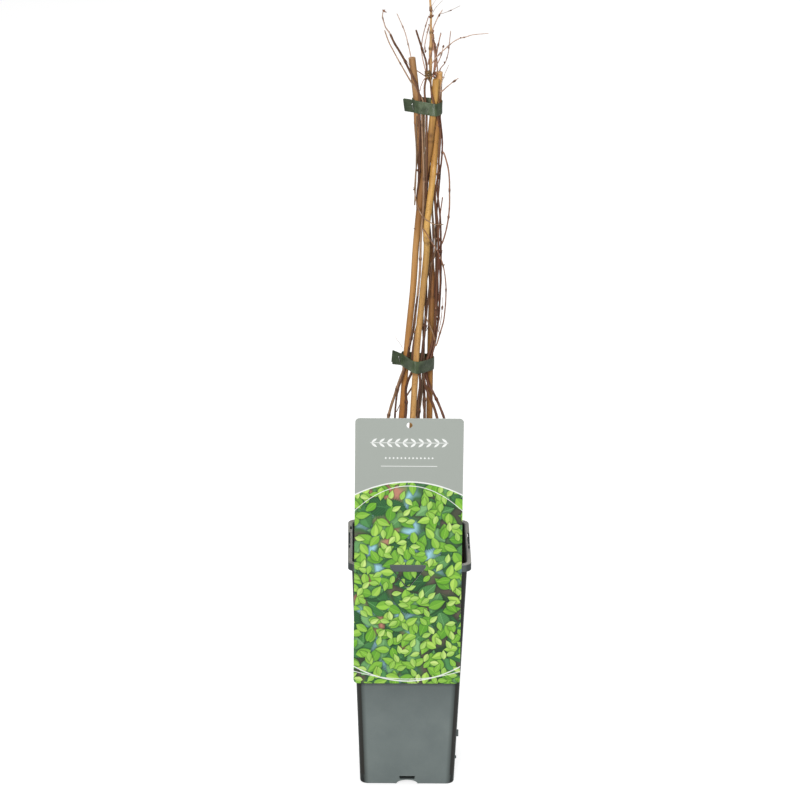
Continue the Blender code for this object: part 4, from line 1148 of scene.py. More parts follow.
def sprig_mask(tree, side, height):
    """A row of paired small leaves on a stem, mirrored at the middle, with diamonds and a rule."""
    step = math_node(tree, "MODULO", side, SPRIG_STEP)
    a = math_node(tree, "SUBTRACT", step, SPRIG_STEP / 2)
    off = math_node(tree, "ABSOLUTE", math_node(tree, "SUBTRACT", height, SPRIG_HEIGHT))
    b = math_node(tree, "SUBTRACT", off, 2.3 * MM)
    lean = math.radians(-38)
    along = math_node(tree, "MULTIPLY_ADD", a, math.cos(lean), math_node(tree, "MULTIPLY", b, math.sin(lean)))
    across = math_node(tree, "MULTIPLY_ADD", b, math.cos(lean), math_node(tree, "MULTIPLY", a, -math.sin(lean)))
    share = math_node(tree, "DIVIDE", along, 3.3 * MM)
    wide = math_node(tree, "MULTIPLY_ADD", math_node(tree, "MULTIPLY", share, share), -1.15 * MM, 1.15 * MM)
    leaves = map_range(tree, math_node(tree, "SUBTRACT", wide, math_node(tree, "ABSOLUTE", across)),
                       0.0, 0.15 * MM)
    stem = map_range(tree, off, 0.35 * MM, 0.22 * MM)
    sprig = math_node(tree, "MULTIPLY", math_node(tree, "MAXIMUM", leaves, stem),
                      math_node(tree, "LESS_THAN", side, SPRIG_HALF))
    step = math_node(tree, "MODULO", math_node(tree, "ADD", side, DIAMOND_STEP / 2), DIAMOND_STEP)
    a = math_node(tree, "ABSOLUTE", math_node(tree, "SUBTRACT", step, DIAMOND_STEP / 2))
    b = math_node(tree, "ABSOLUTE", math_node(tree, "SUBTRACT", height, DIAMOND_HEIGHT))
    diamonds = map_range(tree, math_node(tree, "ADD", a, b), 1.15 * MM, 0.95 * MM)
    diamonds = math_node(tree, "MULTIPLY", diamonds, math_node(tree, "LESS_THAN", side, DIAMOND_HALF))
    rule = math_node(tree, "MULTIPLY", thin_line(tree, height, RULE_HEIGHT, 0.35 * MM),
                     math_node(tree, "LESS_THAN", side, RULE_HALF))
    return math_node(tree, "MAXIMUM", sprig, math_node(tree, "MAXIMUM", diamonds, rule))


def card_look():
    made, tree, shader, place, relief = start_material("printed_card", 0.42, 0.12, 0.00005)
    x, _, height = separate(tree, place)
    flat = tree.nodes.new("ShaderNodeCombineXYZ")
    tree.links.new(x, flat.inputs[0])
    tree.links.new(height, flat.inputs[1])
    patches = add_node(tree, "ShaderNodeTexNoise", {"noise_dimensions": "2D"}, Scale=17.0, Detail=2.5)
    tree.links.new(flat.outputs[0], patches.inputs["Vector"])
    colour = ramp(tree, patches.outputs[0],
                  [(0.30, from_srgb(34, 70, 40)), (0.40, from_srgb(96, 84, 74)), (0.47, from_srgb(62, 112, 58)),
                   (0.54, from_srgb(164, 216, 232)), (0.60, from_srgb(86, 142, 84)),
                   (0.68, from_srgb(192, 134, 112))])
    for scale, length, width, cover, dark, light, turn, move in LEAF_LAYERS:
        layer = tree.nodes.new("ShaderNodeGroup")
        layer.node_tree = LEAF_LAYER
        turned = add_node(tree, "ShaderNodeMapping")
        turned.inputs["Location"].default_value = (move, -move, 0)
        turned.inputs["Rotation"].default_value = (0, 0, math.radians(turn))
        tree.links.new(flat.outputs[0], turned.inputs["Vector"])
        tree.links.new(turned.outputs[0], layer.inputs["Vector"])
        for key, value in (("Scale", scale), ("Length", length), ("Width", width), ("Cover", cover),
                           ("Dark", (*dark, 1)), ("Light", (*light, 1))):
            layer.inputs[key].default_value = value
        tree.links.new(colour, layer.inputs["Under"])
        colour = layer.outputs[0]

    middle = math_node(tree, "SUBTRACT", x, CARD_X)
    side = math_node(tree, "ABSOLUTE", middle)
    bow = math_node(tree, "POWER", math_node(tree, "DIVIDE", side, CARD_WIDTH / 2), 2.0)
    arch = math_node(tree, "MULTIPLY_ADD", bow, -ARCH_FALL, ARCH_TOP)
    head = map_range(tree, math_node(tree, "SUBTRACT", height, arch), -0.1 * MM, 0.1 * MM)
    low_arch = math_node(tree, "MULTIPLY_ADD", bow, -1.9 * ARCH_FALL, ARCH_TOP - 4 * MM)
    foot_arch = math_node(tree, "MULTIPLY_ADD", bow, 8 * MM, card_low.z + 4.5 * MM)
    swing = math_node(tree, "MULTIPLY_ADD", bow, 15 * MM, card_low.z + 2.5 * MM)
    for level, half_width in ((low_arch, 0.45 * MM), (foot_arch, 0.4 * MM), (swing, 0.7 * MM)):
        colour = mix_colour(tree, thin_line(tree, height, level, half_width), colour, INK_WHITE)
    marks = sprig_mask(tree, side, height)
    colour = mix_colour(tree, head, colour, mix_colour(tree, marks, HEAD_GREY, INK_WHITE))
    colour = mix_colour(tree, thin_line(tree, height, arch, 0.85 * MM), colour, INK_WHITE)

    printed = add_node(tree, "ShaderNodeAttribute", {"attribute_name": "printed"})
    scuff = add_node(tree, "ShaderNodeTexNoise", Scale=240.0, Detail=4.0)
    tree.links.new(place, scuff.inputs["Vector"])
    back = ramp(tree, scuff.outputs[0], [(0.3, from_srgb(206, 208, 204)), (0.7, from_srgb(222, 223, 220))])
    colour = mix_colour(tree, printed.outputs["Fac"], back, colour)
    tree.links.new(colour, shader.inputs["Base Color"])
    tree.links.new(scuff.outputs[0], relief.inputs["Height"])
    tree.links.new(map_range(tree, scuff.outputs[0], 0.3, 0.7, 0.36, 0.48), shader.inputs["Roughness"])
    return made


PRINTED_CARD = card_look()
finish_piece(card, PRINTED_CARD, ["label"])
print("card finish:", len(PRINTED_CARD.node_tree.nodes), "nodes")

# %% [markdown]
# ## The pot
#
# A climber pot is one thin moulded shell. Its wall leans out a little, turns over at the top into
# a flat rim with slots, and drops as a short skirt. The wall is followed here as one profile: the
# cap of a rounded square is extruded again and again, up the outside, over the rim and down the
# inside. After each extrusion its four corners are moved, so that they keep their own radius.

# %% The shell's profile
POT_CORNER, WALL, SKIRT_FOOT = 8 * MM, 1.2 * MM, POT_HEIGHT - 7 * MM
QUARTERS = [math.radians(90 * quarter) for quarter in range(4)]


def body_half(height):
    """Half the pot's outer width at a height, under the rim."""
    share = height / (POT_HEIGHT - WALL)
    return BODY_FOOT_HALF + (BODY_TOP_HALF - BODY_FOOT_HALF) * share


def round_square(name, half, radius, height):
    """A level square face with round corners."""
    clear_selection()
    bpy.ops.mesh.primitive_plane_add(size=2 * half, location=(0, 0, height))
    made = bpy.context.object
    made.name = name
    bpy.ops.object.transform_apply(location=True, rotation=True, scale=True)
    select_points(made, lambda point: True)
    bpy.ops.mesh.bevel(offset=radius, offset_type="OFFSET", segments=8, affect="VERTICES")
    return made


def next_ring(piece, old, new):
    """Extrudes the selected cap from one (height, half width, corner radius) to the next."""
    (height, half, radius), (next_height, next_half, next_radius) = old, new
    bpy.ops.mesh.extrude_region_move(TRANSFORM_OT_translate={"value": (0, 0, next_height - height)})
    bpy.ops.object.mode_set(mode="OBJECT")
    cap = {vertex.index: vertex.co.copy() for vertex in piece.data.vertices if vertex.select}
    step = (next_half - next_radius) - (half - radius)
    scale = next_radius / radius
    for x_sign in (-1, 1):
        for y_sign in (-1, 1):
            select_numbers(piece, [n for n, at in cap.items() if at.x * x_sign > 0 and at.y * y_sign > 0])
            bpy.ops.transform.translate(value=(x_sign * step, y_sign * step, 0))
            middle = (x_sign * (next_half - next_radius), y_sign * (next_half - next_radius), next_height)
            bpy.ops.transform.resize(value=(scale, scale, 1), center_override=middle)
    select_numbers(piece, cap)


def close_shape(piece):
    """Merges doubles and turns every face out."""
    bpy.ops.mesh.select_all(action="SELECT")
    bpy.ops.mesh.remove_doubles(threshold=0.001 * MM)
    bpy.ops.mesh.normals_make_consistent(inside=False)
    bpy.ops.object.mode_set(mode="OBJECT")


def make_shell():
    inner = POT_CORNER - WALL
    under = POT_HEIGHT - WALL
    rings = [(0, BODY_FOOT_HALF - 0.8 * MM, POT_CORNER - 0.8 * MM),
             (0.25 * MM, BODY_FOOT_HALF - 0.25 * MM, POT_CORNER - 0.3 * MM),
             (0.9 * MM, body_half(0.9 * MM), POT_CORNER),
             (under, BODY_TOP_HALF, POT_CORNER),
             (under, RIM_HALF - WALL, inner),
             (SKIRT_FOOT, RIM_HALF - WALL, inner),
             (SKIRT_FOOT, RIM_HALF, POT_CORNER),
             (POT_HEIGHT - 0.6 * MM, RIM_HALF, POT_CORNER),
             (POT_HEIGHT - 0.2 * MM, RIM_HALF - 0.17 * MM, POT_CORNER - 0.17 * MM),
             (POT_HEIGHT, RIM_HALF - 0.6 * MM, POT_CORNER - 0.6 * MM),
             (POT_HEIGHT, body_half(POT_HEIGHT) - 0.1 * MM, inner + 1.1 * MM),
             (POT_HEIGHT - 1.1 * MM, body_half(POT_HEIGHT) - WALL, inner),
             (WALL, body_half(WALL) - WALL, inner)]
    shell = round_square("climber_pot", rings[0][1], rings[0][2], rings[0][0])
    for old, new in zip(rings, rings[1:]):
        next_ring(shell, old, new)
    close_shape(shell)
    return shell


# %% Cuts and webs
def block(name, middle, size, rounding=0.0):
    """A box, with its edges rounded where a width is given."""
    clear_selection()
    bpy.ops.mesh.primitive_cube_add(size=1, location=middle)
    made = bpy.context.object
    made.name = name
    made.scale = size
    bpy.ops.object.transform_apply(location=True, rotation=True, scale=True)
    if rounding:
        select_points(made, lambda point: True)
        bpy.ops.mesh.bevel(offset=rounding, segments=4, affect="EDGES")
        bpy.ops.object.mode_set(mode="OBJECT")
    return made


def on_four_sides(make_one, name):
    """The thing made for the front, copied to the four sides by turns about the middle."""
    copies = []
    for angle in QUARTERS:
        one = make_one()
        one.matrix_world = Matrix.Rotation(angle, 4, "Z") @ one.matrix_world
        apply_all(one)
        copies.append(one)
    return join(copies, name)


def drain_arch():
    """A low round arch through the foot of the front wall."""
    clear_selection()
    bpy.ops.mesh.primitive_cylinder_add(vertices=56, radius=1, depth=14 * MM, rotation=(math.radians(90), 0, 0),
                                        location=(0, -BODY_FOOT_HALF + 5.8 * MM, 0))
    arch = bpy.context.object
    arch.scale = (10 * MM, 4.1 * MM, 1)
    bpy.ops.object.transform_apply(location=True, rotation=True, scale=True)
    return arch


def drain_slot():
    """The upright slot above the arch, a little narrower at its foot."""
    slot = block("slot", (0, -BODY_FOOT_HALF, 6.5 * MM), (15 * MM, 4 * WALL, 3.2 * MM))
    select_points(slot, lambda point: point.z < 6.5 * MM)
    bpy.ops.transform.resize(value=(0.93, 1, 1))
    bpy.ops.object.mode_set(mode="OBJECT")
    return slot


def make_pot():
    shell = make_shell()
    soften_edges(shell, 0.2 * MM)
    cover = ((0, -BODY_FOOT_HALF + 7.6 * MM, 2.65 * MM), (22.4 * MM, 14.6 * MM, 5.1 * MM))
    combine(shell, on_four_sides(lambda: block("cover", *cover), "covers"), "UNION")
    combine(shell, on_four_sides(drain_arch, "arches"), "DIFFERENCE")
    combine(shell, on_four_sides(drain_slot, "drain_slots"), "DIFFERENCE")
    slots = [block("slot", (0, side * (RIM_HALF - 2.1 * MM), POT_HEIGHT), (40 * MM, 1.8 * MM, 4 * WALL))
             for side in (-1, 1)]
    slots += [block("slot", (side * (RIM_HALF - 1.35 * MM), 4 * MM, POT_HEIGHT), (1.5 * MM, 40 * MM, 4 * WALL))
              for side in (-1, 1)]
    slots.append(block("notch", (-54.2 * MM, 35.5 * MM, POT_HEIGHT), (3.2 * MM, 7.5 * MM, 2.5 * MM)))
    combine(shell, join(slots, "rim_slots"), "DIFFERENCE")
    webs = [block("web", (0, RIM_HALF - 2.2 * MM, SKIRT_FOOT + MM), (46 * MM, 3.4 * MM, 1.2 * MM))]
    for side, more in ((-1, 25 * MM), (1, 0)):
        webs.append(block("web", (side * (RIM_HALF - 2.2 * MM), 4 * MM + more / 2, SKIRT_FOOT + MM),
                          (3.4 * MM, 46 * MM + more, 1.2 * MM)))
        webs.append(block("bar", (side * (RIM_HALF - 1.4 * MM), -6.75 * MM, POT_HEIGHT - WALL / 2),
                          (2.4 * MM, 2.5 * MM, WALL - 0.1 * MM)))
    combine(shell, join(webs, "webs"), "UNION")
    nubs = [block("nub", (body_half(z * MM) + (proud / 2 - 0.4) * MM, -34 * MM, z * MM),
                  ((proud + 0.8) * MM, 1.6 * MM, tall * MM), 0.5 * MM)
            for z, proud, tall in ((48.5, 1.9, 7), (23.5, 1.2, 3))]
    combine(shell, join(nubs, "nubs"), "UNION")
    holes = []
    for x in (-27 * MM, 27 * MM):
        for y in (-27 * MM, 27 * MM):
            clear_selection()
            bpy.ops.mesh.primitive_cylinder_add(vertices=32, radius=4 * MM, depth=4 * WALL,
                                                location=(x, y, WALL / 2))
            holes.append(bpy.context.object)
    combine(shell, join(holes, "holes"), "DIFFERENCE")
    pick(shell)
    bpy.ops.object.shade_smooth_by_angle(angle=math.radians(32))
    even_shading(shell)
    return finish_piece(shell, POT_PLASTIC, ["pot"])


pot = make_pot()
print("pot:", len(pot.data.polygons), "faces")

# %% [markdown]
# ## The compost
#
# Compost is a mound of crumbs with bits of bark in it. A bump map would leave its outline flat,
# so a fine grid is pushed up by two noise textures, and a few hundred loose crumbs, each a small
# crushed ball, lie on it.

# %% The mound
soil_low, soil_high = (Vector(corner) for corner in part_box("soil"))
SOIL_HALF = soil_high.x
SOIL_EDGE = soil_high.z - 3.4 * MM


def soil_height(x, y):
    """The mound's height, with its coarse lumps."""
    bulge = max(0.0, 1 - (max(abs(x), abs(y)) / SOIL_HALF) ** 2)
    lumps = noise.fractal(Vector((x, y, 0)) / (11 * MM), 1.0, 2.0, 4)
    return SOIL_EDGE + 2.2 * MM * bulge + 1.3 * MM * lumps * (0.3 + 0.7 * bulge)


def make_soil():
    clear_selection()
    bpy.ops.mesh.primitive_grid_add(x_subdivisions=120, y_subdivisions=120, size=2 * SOIL_HALF,
                                    location=(0, 0, SOIL_EDGE))
    mound = bpy.context.object
    mound.name = "compost_mound"
    bpy.ops.object.transform_apply(location=True, rotation=True, scale=True)
    arc = 6.5 * MM
    for vertex in mound.data.vertices:
        over = Vector((abs(vertex.co.x), abs(vertex.co.y))) - Vector((SOIL_HALF - arc, SOIL_HALF - arc))
        if over.x > 0 and over.y > 0 and over.length > arc:
            over *= arc / over.length
            vertex.co.x = math.copysign(SOIL_HALF - arc + over.x, vertex.co.x)
            vertex.co.y = math.copysign(SOIL_HALF - arc + over.y, vertex.co.y)
        vertex.co.z = min(soil_height(vertex.co.x, vertex.co.y), soil_high.z)
    pick(mound)
    bpy.ops.object.mode_set(mode="EDIT")
    bpy.ops.mesh.select_mode(type="EDGE")
    bpy.ops.mesh.select_all(action="DESELECT")
    bpy.ops.mesh.select_non_manifold()
    bpy.ops.mesh.extrude_region_move(TRANSFORM_OT_translate={"value": (0, 0, -12 * MM)})
    bpy.ops.transform.resize(value=(0.96, 0.96, 1), center_override=(0, 0, SOIL_EDGE - 12 * MM))
    bpy.ops.mesh.edge_face_add()
    close_shape(mound)
    crumble = bpy.data.textures.new("crumble", "CLOUDS")
    crumble.noise_scale = 1.6 * MM
    push = mound.modifiers.new("Crumble", "DISPLACE")
    push.texture = crumble
    push.texture_coords = "LOCAL"
    push.direction = "Z"
    push.mid_level = 0.6
    push.strength = 1.1 * MM
    apply_all(mound)
    bpy.ops.object.shade_smooth_by_angle(angle=math.radians(55))
    return mound


# %% Crumbs
def scatter(source, places, name):
    """Copies of the source, each with its own mesh, at the given matrices, as one piece."""
    copies = []
    for place in places:
        copy = bpy.data.objects.new(name, source.data.copy())
        bpy.context.collection.objects.link(copy)
        copy.data.transform(place)
        copies.append(copy)
    bpy.data.objects.remove(source, do_unlink=True)
    return join(copies, name)


def make_crumb(name, rough, seed):
    """A small ball, crushed by noise."""
    clear_selection()
    bpy.ops.mesh.primitive_ico_sphere_add(subdivisions=2, radius=1)
    crumb = bpy.context.object
    crumb.name = name
    for vertex in crumb.data.vertices:
        push = noise.noise(vertex.co * 1.7 + Vector((seed, 0, 0)))
        vertex.co *= 1 + rough * push
    bpy.ops.object.shade_flat()
    return crumb


def crumb_places(count, smallest, largest, stretch, draw):
    places = []
    for _ in range(count):
        x, y = (draw.uniform(-SOIL_HALF + 2 * MM, SOIL_HALF - 2 * MM) for _ in range(2))
        size = draw.uniform(smallest, largest) * draw.uniform(0.5, 1) * MM
        turn = Matrix.Rotation(draw.uniform(0, math.tau), 4, "Z") @ Matrix.Rotation(
            draw.uniform(-0.5, 0.5), 4, "X")
        spot = Matrix.Translation((x, y, soil_height(x, y) + 0.3 * size))
        places.append(spot @ turn @ Matrix.Diagonal((size * stretch, size, size * 0.6, 1)))
    return places


soil_draw = random.Random(7)
soil_parts = [make_soil(),
              scatter(make_crumb("crumbs", 0.9, 3), crumb_places(520, 0.7, 1.9, 1.3, soil_draw), "crumbs"),
              scatter(make_crumb("chips", 0.7, 9), crumb_places(90, 1.0, 1.6, 3.2, soil_draw), "bark_chips")]
soil = finish_piece(join(soil_parts, "compost_mound"), COMPOST, ["soil"])
print("compost:", len(soil.data.polygons), "faces, top", round(max(v.co.z for v in soil.data.vertices), 4))

# %% [markdown]
# ## The ties
#
# Tying tape is a thin green plastic ribbon. It lies tight round the bundle, flat between one stem
# and the next, and its two ends are laid together and stapled. Cloth would find that shape slowly.
# The shape is known, though: it is the outline that a stretched string has round all the stems,
# which is their convex hull. One upright edge is extruded along it.

# %% The tape's way round the bundle
# As in the frame: height of the middle and its fall towards +X and +Y, then in millimetres where
# the ends meet, where the flag ends, the step of its cut end, and how far its layers splay
TIES = {
    "upper": (657.5, (0.10, 0.0), (0.4, -3.2), (-9.6, -1.4), 1.7, 0.0),
    "lower": (409.3, (0.185, 0.09), (-9.0, 5.2), (-18, 8), -1.0, 1.3),
}
TAPE_WIDTH, TAPE_THICKNESS = 12 * MM, 0.25 * MM
TAPE_STEP, TAPE_ROWS = 0.9, 7


def girdle(height, fall):
    """Points round every stem where the tape crosses it, in millimetres, seen from above."""
    turns = np.linspace(0, math.tau, 16, endpoint=False)
    circle = np.stack([np.cos(turns), np.sin(turns)], axis=1)
    rim = []
    for points, radii in lines.values():
        points, radii = points / MM, radii / MM
        for level in np.arange(-7, 7.1, 1.4):
            rise = points[:, 2] + points[:, :2] @ np.array(fall) - height - level
            for i in np.nonzero(rise[:-1] * rise[1:] <= 0)[0]:
                share = rise[i] / (rise[i] - rise[i + 1] + 1e-9)
                middle = points[i] + share * (points[i + 1] - points[i])
                rim.append(middle[:2] + (1.08 * radii[i] + 0.55) * circle)
    return np.vstack(rim)


def tape_path(height, fall, pinch, flag, skew, splay):
    """Columns (x, y), lean, rise and whether it is the flag, from one end of the tape to the other."""
    points = np.vstack([girdle(height, fall), pinch])
    hull = [tuple(points[i]) for i in geometry.convex_hull_2d([Vector(p) for p in points])]
    turn = sum(a[0] * b[1] - a[1] * b[0] for a, b in zip(hull, hull[1:] + hull[:1]))
    if turn < 0:
        hull.reverse()
    start = min(range(len(hull)), key=lambda i: math.dist(hull[i], pinch))
    loop = np.array(hull[start + 1:] + hull[:start])
    layer = 0.31
    front = np.array([(flag[0], flag[1] - layer - 0.3), (pinch[0], pinch[1] - layer)])
    back = np.array([(pinch[0], pinch[1] + layer), (flag[0] + 0.8, flag[1] + layer + 0.4)])
    way = np.vstack([front, loop, back])
    run = np.append(0, np.cumsum(np.linalg.norm(np.diff(way, axis=0), axis=1)))
    count = round(run[-1] / TAPE_STEP)
    at = np.linspace(0, run[-1], count + 1)
    even = np.stack([np.interp(at, run, way[:, axis]) for axis in range(2)], axis=1)
    eased = even.copy()
    for _ in range(2):
        eased[1:-1] = (eased[:-2] + 2 * eased[1:-1] + eased[2:]) / 4
    ends = [math.dist(front[0], front[1]), math.dist(back[0], back[1])]
    first = np.clip(1 - at / ends[0], 0, 1)
    last = np.clip(1 - (run[-1] - at) / ends[1], 0, 1)
    lean = skew * (first + last)
    rise = splay * (first - last)
    return eased, lean, rise, first + last > 0


# %% Tapes
def make_tie(name):
    height, fall, pinch, flag, skew, splay = TIES[name]
    path, lean, rise, in_flag = tape_path(height, fall, pinch, flag, skew, splay)
    places = np.column_stack([path, height - path @ np.array(fall) + rise]) * MM
    first, second = places[0], places[1]
    clear_selection()
    bpy.ops.mesh.primitive_plane_add(size=1, location=(first + second) / 2, rotation=(math.radians(90), 0, 0))
    tape = bpy.context.object
    tape.name = f"tie_{name}_tape"
    tape.scale = (second[0] - first[0], TAPE_WIDTH, 1)
    bpy.ops.object.transform_apply(location=True, rotation=True, scale=True)
    select_points(tape, lambda point: point.x > (first[0] + second[0]) / 2)
    for here, there in zip(places[1:], places[2:]):
        bpy.ops.mesh.extrude_region_move(TRANSFORM_OT_translate={"value": tuple(there - here)})
    bpy.ops.mesh.select_all(action="SELECT")
    bpy.ops.mesh.normals_make_consistent(inside=False)
    bpy.ops.object.mode_set(mode="OBJECT")
    shape_tape(tape, places, lean, in_flag)
    return finish_piece(tape, TAPE, [f"tie_{name}"])


def shape_tape(tape, places, lean, in_flag):
    """Divides the tape across, leans its cut ends, and gives it shallow wrinkles and curled edges."""
    mesh = tape.data
    upright = [abs(mesh.vertices[a].co.z - mesh.vertices[b].co.z) > TAPE_WIDTH / 2
               for a, b in (edge.vertices for edge in mesh.edges)]
    pick(tape)
    bpy.ops.object.mode_set(mode="EDIT")
    bpy.ops.mesh.select_mode(type="EDGE")
    bpy.ops.mesh.select_all(action="DESELECT")
    bpy.ops.object.mode_set(mode="OBJECT")
    for edge, stands in zip(mesh.edges, upright):
        edge.select = stands
    bpy.ops.object.mode_set(mode="EDIT")
    bpy.ops.mesh.subdivide(number_cuts=TAPE_ROWS - 1)
    bpy.ops.object.mode_set(mode="OBJECT")
    finder = kdtree.KDTree(len(places))
    for i, place in enumerate(places):
        finder.insert((place[0], place[1], 0), i)
    finder.balance()
    # The flag mark carries the painted shade of the flag, and its roughness.
    marks = mesh.attributes.new("flag", "FLOAT", "POINT").data
    for vertex in mesh.vertices:
        _, column, _ = finder.find((vertex.co.x, vertex.co.y, 0))
        marks[vertex.index].value = float(in_flag[column])
        across = (vertex.co.z - places[column][2]) / TAPE_WIDTH
        before, after = places[max(column - 1, 0)], places[min(column + 1, len(places) - 1)]
        way = Vector(after - before).normalized()
        out = Vector((way.y, -way.x, 0))
        crease = noise.noise(Vector(vertex.co) / (4.5 * MM)) * 0.16 * MM
        curl = (2 * across) ** 4 * noise.noise(Vector((column * 0.35, round(across), 5))) * 0.22 * MM
        vertex.co += out * (crease + abs(curl))
        vertex.co.x += -across * lean[column] * MM
    thicken(tape, TAPE_THICKNESS)
    smooth = tape.modifiers.new("Smooth", "SUBSURF")
    smooth.levels = smooth.render_levels = 1
    apply_all(tape)
    bpy.ops.object.shade_smooth_by_angle(angle=math.radians(45))


ties = [make_tie(name) for name in TIES]
print("ties:", [len(tie.data.polygons) for tie in ties], "faces")

# %% [markdown]
# ## The staples
#
# A wire staple closes each tie: its crown lies on the front and its two legs are folded behind.
# The frame's own wire has the right bends, so its line is read back and swept again with a
# rounder section.

# %% Staples
def make_staple(name):
    points, radii = tube_line(f"staple_{name}", 6)
    wire = sweep(f"staple_{name}_wire", points, radii, np.zeros(len(points)), 4)
    return finish_piece(wire, WIRE, [f"staple_{name}"])


staples = [make_staple(name) for name in TIES]
print("staples:", [len(staple.data.polygons) for staple in staples], "faces")

# %% [markdown]
# ## Buds, fine twigs and the tangle
#
# The thinnest twigs, the buds and the stubs are too small for the frame, and are mesh only. Each
# joint of a bine carries a pair of buds, on opposite sides. One bud is modelled, a ball drawn out
# to a point, and copied to every place. The old leaf stalks that cling to the leader, and the
# tangle where the strands cross, are short tubes wound round one middle.

# %% Buds
def make_bud():
    """A bud that stands on its foot: one unit high, one unit wide, with a point."""
    clear_selection()
    bpy.ops.mesh.primitive_uv_sphere_add(segments=10, ring_count=8, radius=0.5, location=(0, 0, 0.42))
    bud = bpy.context.object
    bpy.ops.object.transform_apply(location=True, rotation=True, scale=True)
    for height, narrow, lift in ((0.6, 0.86, 0.0), (0.75, 0.72, 0.03), (0.88, 0.4, 0.06)):
        select_points(bud, lambda point: point.z > height)
        bpy.ops.transform.resize(value=(narrow, narrow, 1))
        bpy.ops.transform.translate(value=(0, 0, lift))
    bpy.ops.object.mode_set(mode="OBJECT")
    bpy.ops.object.shade_smooth()
    return bud


def bud_place(foot, way, long, wide):
    """The matrix of a bud at the foot, pointing the way, with its length and width in mm."""
    turn = Vector(way).to_track_quat("Z", "Y").to_matrix().to_4x4()
    return Matrix.Translation(Vector(foot) * MM) @ turn @ Matrix.Diagonal((wide * MM, wide * MM, long * MM, 1))


def joint_buds(name, heights, draw, share=1.0):
    """Pairs of small buds at the joints of one strand."""
    points, radii = lines[name]
    line, radii, at = fine_line(points, radii, 1.0 * MM)
    places = []
    for distance in joint_distances(line, at, heights):
        i = int(np.clip(np.searchsorted(at, distance), 1, len(at) - 2))
        along = Vector(line[i + 1] - line[i - 1]).normalized()
        if along.z < 0:
            along.negate()
        angle = draw.uniform(0, math.pi)
        side = along.cross(Vector((math.cos(angle), math.sin(angle), 0))).normalized()
        for out in (side, -side):
            if draw.random() < share:
                foot = Vector(line[i]) + out * 0.8 * radii[i]
                long = radii[i] / MM * draw.uniform(1.6, 2.4)
                places.append(bud_place(foot / MM, along + 0.55 * out, long, 0.55 * long))
    return places


# Single buds that show in the photograph: foot, way, length and width in millimetres
DARK_BUDS = [
    ((31.4, -2.6, 747.2), (0.8, -0.6, 0.5), 2.4, 1.3), ((12.9, -1.3, 732.4), (-0.4, 0, 1), 2.2, 1.1),
    ((9.2, -7.8, 709.4), (0.3, -0.2, 1), 3.0, 1.8), ((11.2, -3.8, 726.6), (-0.6, -0.2, 1), 1.8, 1.1),
    ((25.7, 12.4, 708.4), (0.3, 0, 1), 3.2, 2.0), ((27.5, 2.0, 696.6), (-0.4, -0.3, 1), 2.8, 1.4),
    ((30.2, -6.0, 712.8), (-0.3, -0.2, 1), 2.2, 1.2), ((34.6, -8.6, 682.1), (0.69, -0.43, 0.59), 5.6, 2.1),
    ((28.4, 2.2, 464.6), (-0.1, 0, -1), 5.2, 2.0), ((1.2, 4.9, 575.9), (-0.8, -0.4, 0.3), 1.8, 1.2),
    ((4.4, 0.6, 596.2), (-0.7, -0.6, -0.2), 3.0, 2.0), ((-20.4, 6.1, 355.0), (-0.9, 0, 0.5), 2.0, 1.2),
    ((40.5, -4.0, 721.6), (0.6, 0, 0.8), 2.2, 1.3), ((22.6, -4.3, 707.6), (0.2, -0.3, 1), 2.0, 1.1),
    ((21.6, 5.0, 739.6), (0.3, -0.2, 1), 3.0, 1.5),
]
RED_BUDS = [
    ((-28.9, -32, 753.6), (-0.25, 0, 1), 2.6, 1.5), ((-28.8, -32, 753.6), (0.5, 0, 0.9), 2.6, 1.3),
    ((-28.8, -32, 753.8), (1, 0, -0.25), 3.4, 1.2), ((14.9, -1.2, 740.6), (0.75, -0.3, 1), 3.6, 1.7),
    ((13.7, -1.2, 740.0), (-0.8, -0.4, 0.9), 3.2, 1.8), ((14.4, -0.4, 745.2), (0.45, -0.4, 1), 3.4, 1.6),
    ((13.6, -0.2, 745.6), (-0.4, -0.3, 1), 2.8, 1.3), ((23.3, 9.8, 720.8), (0.15, 0.2, 1), 3.0, 1.3),
    ((18.0, -0.8, 687.6), (0.4, -0.4, 1), 3.2, 1.8), ((18.4, -0.8, 689.6), (-0.6, -0.4, 0.6), 2.4, 1.4),
]
bud_draw = random.Random(3)
small_places = []
for name, heights in BINE_JOINTS.items():
    small_places += joint_buds(name, heights, bud_draw)
for name, heights in TWIG_JOINTS.items():
    small_places += joint_buds(name, heights, bud_draw, 0.7)
dark_places = [bud_place(*bud) for bud in DARK_BUDS]
red_places = [bud_place(*bud) for bud in RED_BUDS]
for name, places, look in (("joint_buds", small_places, "brown"), ("dark_buds", dark_places, "dark"),
                           ("red_buds", red_places, "red")):
    buds = finish_piece(scatter(make_bud(), places, name), BARK[look])
    print(name, len(places), "buds,", len(buds.data.polygons), "faces")

